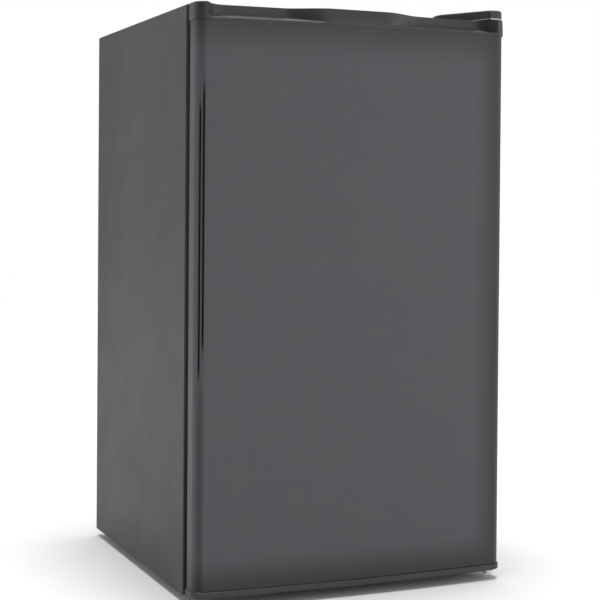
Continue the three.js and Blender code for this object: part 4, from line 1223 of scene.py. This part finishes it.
def relay_cover():
    """Snap-on cover with raised ribs."""
    low, high = box("relay_cover")
    rings = []
    width = high.x - low.x
    for inset, out in ((0, 0), (0, 0.55), (0.4, 0.6), (0.4, 0.86), (1.0, 0.95), (2.4, 1.0), (4.5, 1.0)):
        inset *= MM
        loop = inset_box(low.y, high.y, low.z, high.z, inset, 6 * MM)
        rings.append([(high.x - out * width, y, z) for y, z in loop])
    piece = object_of("relay_snap_cover", skin(rings))
    ribs = []
    for i in range(5):
        y = low.y + (high.y - low.y) * (i + 1) / 6
        ends = (low.z + 8 * MM, high.z - 8 * MM)
        ribs.append(block(low.x - 0.9 * MM, low.x + 3 * MM, *about(y, 0.8), *ends, 0.4 * MM))
    joined(piece, ribs)
    return finished(piece, "cabinet", "black_plastic", ["relay_cover"])


def filter_drier():
    _, high, centre = place_of("filter_drier")
    profile = [(0, 50), (1.3, 50), (1.5, 51), (1.5, 64), (2.6, 67), (6.6, 71), (8.4, 75), (9, 79), (9, 84)]
    profile += [(8.5, 85), (9, 86), (9, 128), (8.5, 129), (9, 130), (9, 134), (8.2, 139), (6, 143)]
    profile += [(3.4, 146), (3, 149)]
    profile = in_mm(profile) + [(3 * MM, high.z), (0, high.z)]
    piece = object_of("drier_cartridge", lathe(profile, 40, (centre.x, centre.y, 0)))
    return finished(piece, "cabinet", "copper", ["filter_drier"])


def cord_gland():
    """The empty inlet for the mains cord: a flanged bush with grip ribs."""
    low, high, centre = place_of("cord_gland")
    tab = box("compressor_crossbar")[1].y

    def ribbed(angle, reach):
        return reach - 0.4 * MM * (0.5 + 0.5 * math.cos(18 * angle)) if reach > 11 * MM else reach

    profile = [
        (4.2 * MM, low.y - tab), (10.8 * MM, low.y - tab), (12 * MM, low.y - tab + 1 * MM),
        *in_mm([(12, -2.3), (7.7, -2.3), (7.7, 0.3), (12, 0.3), (12, 2.4), (11, 3.8), (7, 4.4)]),
        (5.4 * MM, 5.7 * MM),
        (4.6 * MM, high.y - tab), (4.2 * MM, high.y - tab - 0.5 * MM),
    ]
    piece = object_of("cord_inlet_bush", lathe(profile, 108, (centre.x, tab, centre.z), "Y", ribbed))
    return finished(piece, "cabinet", "black_plastic", ["cord_gland"], sharp=32)


# ---------- inside ----------
def serpentine(a0, a1, b0, b1, runs, bend_steps=8):
    """A flat path of runs between a0 and a1, stepping from b0 to b1, with round bends."""
    pitch = (b1 - b0) / (runs - 1)
    radius = abs(pitch) / 2
    points = []
    for i in range(runs):
        b = b0 + pitch * i
        start, end = (a0 + radius, a1 - radius) if i % 2 == 0 else (a1 - radius, a0 + radius)
        points += [(start, b), (end, b)]
        if i < runs - 1:
            way = 1 if i % 2 == 0 else -1
            for k in range(1, bend_steps):
                turn = math.pi * k / bend_steps
                points.append((end + way * radius * math.sin(turn), b + pitch / 2 * (1 - math.cos(turn))))
    return points


def bead(points, radius, sides=10):
    """A round bead along 3D points, closed at both ends."""
    path = [Vector(p) for p in points]
    rings = []
    for i, p in enumerate(path):
        ahead = path[min(i + 1, len(path) - 1)] - path[max(i - 1, 0)]
        ahead.normalize()
        side = ahead.cross(BEAD_UP).normalized()
        up = side.cross(ahead)
        rings.append([
            tuple(p + (side * math.cos(t) + up * math.sin(t)) * radius)
            for t in (2 * math.pi * k / sides for k in range(sides))
        ])
    return skin(rings)


BEAD_UP = Vector((0.31, 0.27, 0.91))


SUNK = 0.4 * MM  # the channels' centre lines lie this far inside the walls they are pressed from


def evaporator():
    """Roll-bond aluminium box, open in front, with raised refrigerant channels and hanging tabs."""
    low, high = box("evaporator_box")
    top = high.z - 12.7 * MM
    front, back = low.y, high.y
    wall = 1.6 * MM
    corner = 9 * MM
    rings = [upright(round_box(low.x, high.x, low.z, top, corner), front)]
    for inset, y in in_mm([(0, -8), (0.8, -3), (3, -0.8), (8, 0)], back):
        rings.append(upright(inset_box(low.x, high.x, low.z, top, inset, corner), y))
    inner = []
    for inset, y in ((0, front), (0, back - 8 * MM), (1.4, back - 3 * MM), (7, back - wall)):
        inset = inset * MM + wall
        inner.append(upright(inset_box(low.x, high.x, low.z, top, inset, corner - wall), y))
    piece = object_of("freezer_shell", skin(list(reversed(inner)) + rings))
    finished(piece, "cabinet", "aluminium", ["evaporator_box"])

    size = 2.6 * MM
    across = serpentine(low.x + 24 * MM, high.x - 24 * MM, front + 26 * MM, back - 26 * MM, 6)
    for name, z in (("floor", low.z + wall - SUNK), ("roof", top - wall + SUNK)):
        channel = object_of(f"freezer_{name}_channel", bead([(x, y, z) for x, y in across], size))
        finished(channel, "cabinet", "aluminium")
    for side, name in ((-1, "left"), (1, "right")):
        x = side * (high.x - wall + SUNK)
        run = serpentine(front + 24 * MM, back - 24 * MM, low.z + 26 * MM, top - 26 * MM, 3)
        wall_channel = object_of(f"freezer_{name}_channel", bead([(x, y, z) for y, z in run], size))
        finished(wall_channel, "cabinet", "aluminium")
    tabs = None
    for x in (-140 * MM, 140 * MM):
        for y in (front + 40 * MM, back - 40 * MM):
            strap = block(*about(x, 10), *about(y, 1), top - 0.6 * MM, high.z, 0.4 * MM)
            flat = block(*about(x, 10), y - 1 * MM, y + 9 * MM, high.z - 1.4 * MM, high.z, 0.4 * MM)
            hanger = joined(object_of("freezer_hanger", strap), [flat])
            if tabs is None:
                tabs = hanger
            else:
                joined(tabs, [hanger])
    finished(tabs, "cabinet", "aluminium")


FLAT_PANE = 0.002  # square metres: faces past this size are shaded flat


def freezer_flap():
    """Clear flap with a raised border, stub axles along its foot and a ribbed pull."""
    low, high = box("freezer_flap")
    axle_y = (low.y + high.y) / 2 + 4.5 * MM
    half = high.x - 4.5 * MM
    foot = low.z + 2.5 * MM
    rings = []
    border = ((9, 1.1), (7, 1.3), (6, 2.0), (5, 2.5), (1.2, 2.5), (0.3, 2.2), (0, 1.5))
    for inset, y in border + tuple((inset, -y) for inset, y in reversed(border)):
        loop = inset_box(-half, half, foot, high.z, inset * MM, 7 * MM)
        rings.append(upright(loop, axle_y + y * MM))
    piece = object_of("freezer_door_flap", skin(rings))
    bead_along = in_mm([(0, 6), (2.5, 6)], -half) + in_mm([(2.5, -6), (0, -6)], half)
    axle = in_mm([(0, 0), (2.0, 0), (2.4, 0.5)], -high.x) + in_mm([(2.4, -0.5), (2.0, 0), (0, 0)], high.x)
    parts = [
        lathe(bead_along, 24, (0, axle_y, foot), "X"),
        lathe(axle, 24, (0, axle_y, foot), "X"),
        block(*about(0, 40), low.y, axle_y, high.z - 12 * MM, high.z - 8 * MM, 1.5 * MM),
    ]
    rib = (low.y + 1 * MM, axle_y, high.z - 13 * MM, high.z - 7.4 * MM)
    for i in range(7):
        parts.append(block(*about((i - 3) * 11 * MM, 0.8), *rib, 0.5 * MM))
    joined(piece, parts)
    finished(piece, "freezer_flap", "clear_plastic", ["freezer_flap"])
    for polygon in piece.data.polygons:
        polygon.use_smooth = polygon.area < FLAT_PANE


def drip_tray():
    """Shallow moulded tray with a rolled lip that runs on the liner's rails."""
    low, high = box("drip_tray")
    half = 196 * MM
    front = low.y + 6 * MM
    wall = 2 * MM
    lip = high.x

    def ring(side, ends, z, radius):
        return level(round_box(-side, side, front + ends, high.y - ends, radius, 8), z)

    rings = [
        ring(half - 6 * MM, 6 * MM, low.z, 12 * MM),
        ring(half - 2.5 * MM, 2.5 * MM, low.z + 0.8 * MM, 12 * MM),
        ring(half - 1 * MM, 1 * MM, low.z + 3 * MM, 12 * MM),
        ring(half, 0.2 * MM, high.z - 3.2 * MM, 12 * MM),
        ring(half + 0.8 * MM, 0.1 * MM, high.z - 2 * MM, 12 * MM),
        ring(lip - 0.5 * MM, 0, high.z - 1.9 * MM, 8 * MM),
        ring(lip, 0, high.z - 1.2 * MM, 8 * MM),
        ring(lip, 0, high.z - 0.5 * MM, 8 * MM),
        ring(lip - 0.6 * MM, 0.3 * MM, high.z, 8 * MM),
        ring(half - wall + 0.8 * MM, wall, high.z, 11 * MM),
        ring(half - wall, wall + 0.5 * MM, high.z - 1 * MM, 11 * MM),
        ring(half - wall - 1.4 * MM, wall + 1.4 * MM, low.z + 5 * MM, 10 * MM),
        ring(half - wall - 5 * MM, wall + 5 * MM, low.z + wall, 8 * MM),
    ]
    piece = object_of("chill_tray", skin(rings))
    pull = (low.y, front + 1.6 * MM, high.z - 12 * MM, high.z - 0.1 * MM)
    joined(piece, [block(*about(0, 50), *pull, 2 * MM)])
    hollow = (low.y + 2 * MM, front - 0.6 * MM, high.z - 14 * MM, high.z - 2.4 * MM)
    joined(piece, [block(*about(0, 44), *hollow, 1 * MM)], "DIFFERENCE")
    return finished(piece, "drip_tray", "clear_plastic", ["drip_tray"])


HOUSING_LOW, HOUSING_HIGH = box("thermostat_housing")
KNOB_LOW, KNOB_HIGH, DIAL = place_of("thermostat_knob")
DIAL_RADIUS = (KNOB_HIGH.x - KNOB_LOW.x) / 2


def thermostat_housing():
    """A rounded box with vents on its left, cut off flat against the liner's right wall."""
    low, high = HOUSING_LOW, HOUSING_HIGH
    right = high.x + 4 * MM
    radius = 8 * MM
    rings = []
    for inset, y in in_mm([(6, 0), (3, 0.3), (1.2, 1.1), (0.3, 2.6), (0, 5)], low.y):
        rings.append(upright(round_box(low.x + inset, right, low.z + inset, high.z - inset, radius), y))
    for inset, y in in_mm([(0, -3), (3, 0)], high.y):
        rings.append(upright(round_box(low.x + inset, right, low.z + inset, high.z - inset, radius), y))
    piece = object_of("thermostat_box", skin(rings))
    past = 10 * MM
    cuts = [block(high.x, high.x + 20 * MM, low.y - past, high.y + past, low.z - past, high.z + past)]
    vent = (low.z + 12 * MM, high.z - 12 * MM)
    for i in range(7):
        cuts.append(block(low.x - 2 * MM, low.x + 1.2 * MM, 0.004 + 0.007 * i, 0.0065 + 0.007 * i, *vent))
    joined(piece, cuts, "DIFFERENCE")
    finished(piece, "cabinet", "white_plastic", ["thermostat_housing"])


def thermostat_scale():
    """Seven printed ticks round the dial, each longer than the one before."""
    marks = None
    for i in range(7):
        turn = math.radians(240 - 50 * i)
        reach = DIAL_RADIUS + 2.6 * MM
        long = (1.2 + 0.28 * i) * MM
        deep = (HOUSING_LOW.y - 0.25 * MM, HOUSING_LOW.y + 0.4 * MM)
        tick = block(*about(0, 0.35), *deep, reach - long / 2, reach + long / 2)
        spin = Matrix.Translation((DIAL.x, 0, DIAL.z)) @ Matrix.Rotation(turn - math.pi / 2, 4, "Y")
        bmesh.ops.transform(tick, matrix=spin, verts=tick.verts)
        if marks is None:
            marks = object_of("thermostat_scale", tick)
        else:
            joined(marks, [tick])
    finished(marks, "cabinet", "white_plastic", look=GREY_PRINT)


def thermostat_knob():
    """A fluted dial with a grip bar across it and a pointer cut into the bar."""
    radius = DIAL_RADIUS

    def fluted(angle, reach):
        if reach < radius - 2.5 * MM:
            return reach
        return reach - 0.45 * MM * (0.5 + 0.5 * math.cos(24 * angle))

    profile = [(0, 0), (radius - 0.6 * MM, 0), (radius, 0.5 * MM), (radius, 4.2 * MM)]
    profile += [(radius - 0.7 * MM, 5.4 * MM), (radius - 2.6 * MM, 6.3 * MM)]
    profile += [(radius - 5 * MM, 6.6 * MM), (0, 6.6 * MM)]
    piece = object_of("thermostat_dial", lathe(profile, 144, (DIAL.x, KNOB_HIGH.y, DIAL.z), "-Y", fluted))
    grip_ends = (DIAL.z - radius + 3 * MM, DIAL.z + radius - 3 * MM)
    grip = block(*about(DIAL.x, 2.5), KNOB_LOW.y, KNOB_HIGH.y - 5 * MM, *grip_ends, 1.2 * MM)
    pointer_ends = (DIAL.z + 3 * MM, DIAL.z + radius - 5 * MM)
    pointer = block(*about(DIAL.x, 0.5), KNOB_LOW.y - 1 * MM, KNOB_LOW.y + 0.5 * MM, *pointer_ends)
    joined(piece, [grip])
    joined(piece, [pointer], "DIFFERENCE")
    finished(piece, "thermostat_knob", "white_plastic", ["thermostat_knob"], sharp=32)


GREY_PRINT = grey_print()
DOOR_PAINT_WITH_SHADE = door_paint_with_shade()


# ---------- surroundings ----------
def floor():
    made = skin([level(((-6, -6), (6, -6), (6, 6), (-6, 6)), z) for z in (-0.02, 0)])
    piece = object_of("studio_floor", made)
    look = Look("pale_floor", (0.90, 0.90, 0.90), 0.7)
    look.mottle(1.5, 2.0, 0.3, 0.8, (0.88, 0.88, 0.885))
    look.bump(look.noise(90.0, 2.0), 0.05, 0.2 * MM)
    piece.data.materials.append(look.material)


def toward(angle):
    """A level direction, its angle counted from straight in front of the door to its right."""
    turn = math.radians(angle)
    return (math.sin(turn), -math.cos(turn), 0)


ROOM_LIGHT = 0.34
OVERHEAD_LIGHT = 2.8
OVERHEAD_SPREAD = math.radians(30)
SWEEPS = (  # direction, half widths where it is full and where it has faded out, strength
    (44, 42, 68, 1.16),
    (-128, 18, 50, 0.72),
    (-52, 22, 50, -0.24),
)
SWEEP_TOP = (0.30, 0.75)  # height of a direction at which the sweeps start to fade and are gone


def studio():
    """A grey room: brighter in front at the right and behind at the left, dimmer in front at the left."""
    world = bpy.data.worlds.new("studio")
    world.use_nodes = True
    nodes, links = world.node_tree.nodes, world.node_tree.links
    direction = nodes.new("ShaderNodeTexCoord").outputs["Generated"]

    def combined(operation, first, second):
        node = nodes.new("ShaderNodeMath")
        node.operation = operation
        links.new(first, node.inputs[0])
        links.new(second, node.inputs[1])
        return node.outputs["Value"]

    split = nodes.new("ShaderNodeSeparateXYZ")
    links.new(direction, split.inputs[0])
    total = None
    for angle, full, faded, strength in SWEEPS:
        facing = nodes.new("ShaderNodeVectorMath")
        facing.operation = "DOT_PRODUCT"
        facing.inputs[1].default_value = toward(angle)
        links.new(direction, facing.inputs[0])
        low, high = math.cos(math.radians(faded)), math.cos(math.radians(full))
        lobe = smooth_range(nodes, links, facing.outputs["Value"], low, high, 0.0, strength)
        total = lobe if total is None else combined("ADD", total, lobe)
    fade = smooth_range(nodes, links, split.outputs["Z"], *SWEEP_TOP, 1.0, 0.0)
    total = combined("MULTIPLY", total, fade)
    base = nodes.new("ShaderNodeMath")
    base.operation = "ADD"
    base.inputs[1].default_value = ROOM_LIGHT
    links.new(total, base.inputs[0])

    room = nodes["Background"]
    room.inputs["Color"].default_value = (1, 1, 1, 1)
    links.new(base.outputs["Value"], room.inputs["Strength"])
    backdrop = nodes.new("ShaderNodeBackground")
    backdrop.inputs["Color"].default_value = (1, 1, 1, 1)
    backdrop.inputs["Strength"].default_value = 1.0
    mix = nodes.new("ShaderNodeMixShader")
    links.new(nodes.new("ShaderNodeLightPath").outputs["Is Camera Ray"], mix.inputs["Fac"])
    links.new(room.outputs["Background"], mix.inputs[1])
    links.new(backdrop.outputs["Background"], mix.inputs[2])
    links.new(mix.outputs["Shader"], nodes["World Output"].inputs["Surface"])
    bpy.context.scene.world = world
    bpy.context.scene.view_settings.view_transform = "Standard"


def overhead_light():
    """A soft even light from straight above."""
    overhead = bpy.data.lights.new("overhead", "SUN")
    overhead.energy = OVERHEAD_LIGHT
    overhead.angle = OVERHEAD_SPREAD
    lamp = bpy.data.objects.new("overhead", overhead)
    lamp.location = (0, 0, 4)
    bpy.context.scene.collection.objects.link(lamp)


# ---------- everything ----------
make_camera()
studio()
overhead_light()
floor()

cabinet_wrap()
back_panel()
inner_liner()
hinge_cover()
for plug in ("hinge_hole_plug_1", "hinge_hole_plug_2"):
    hole_plug(plug)
for end in ("top", "bottom"):
    hinge_pin(f"{end}_hinge_pin")
    from_cad(f"{end}_hinge_bracket", "cabinet", "zinc_plate", 0.5 * MM)
    for number in (1, 2):
        screw(f"{end}_hinge_screw_{number}")
for side in ("left", "right"):
    front_foot(f"front_foot_{side}")
    rear_foot(f"rear_foot_{side}")
for node in ("front_cross_rail", "base_pan", "compressor_crossbar"):
    from_cad(node, "cabinet", "galvanised_steel", 0.6 * MM)

compressor()
for number in range(1, 5):
    grommet(f"compressor_grommet_{number}")
relay_cover()
filter_drier()
cord_gland()
for node in ("suction_tube", "discharge_tube", "process_tube"):
    from_cad(node, "cabinet", "copper", subdivide=2)

evaporator()
from_cad("evaporator_frame", "cabinet", "white_plastic", 1.2 * MM, 3)
freezer_flap()
drip_tray()
thermostat_housing()
thermostat_scale()
thermostat_knob()
for height in ("upper", "lower"):
    from_cad(f"shelf_glass_{height}", "cabinet", "shelf_glass", 0.8 * MM, 3)
    from_cad(f"shelf_trim_{height}", "cabinet", "white_plastic", 1.2 * MM, 3)

door_panel()
door_top_cap()
door_bottom_cap()
cap_plug()
bush("door_bushing_top")
bush("door_bushing_bottom")
door_foam()
door_liner()
door_gasket()
for rack in RACKS:
    door_rack(rack)

# The sealed inner pieces keep their CAD shape.
for node, slot in (
    ("insulation_foam", "foam"),
    ("condenser_coil_left", "copper"),
    ("condenser_coil_right", "copper"),
):
    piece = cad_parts[node]
    for holder in piece.material_slots:
        holder.material = LOOKS[slot]

bpy.context.view_layer.update()
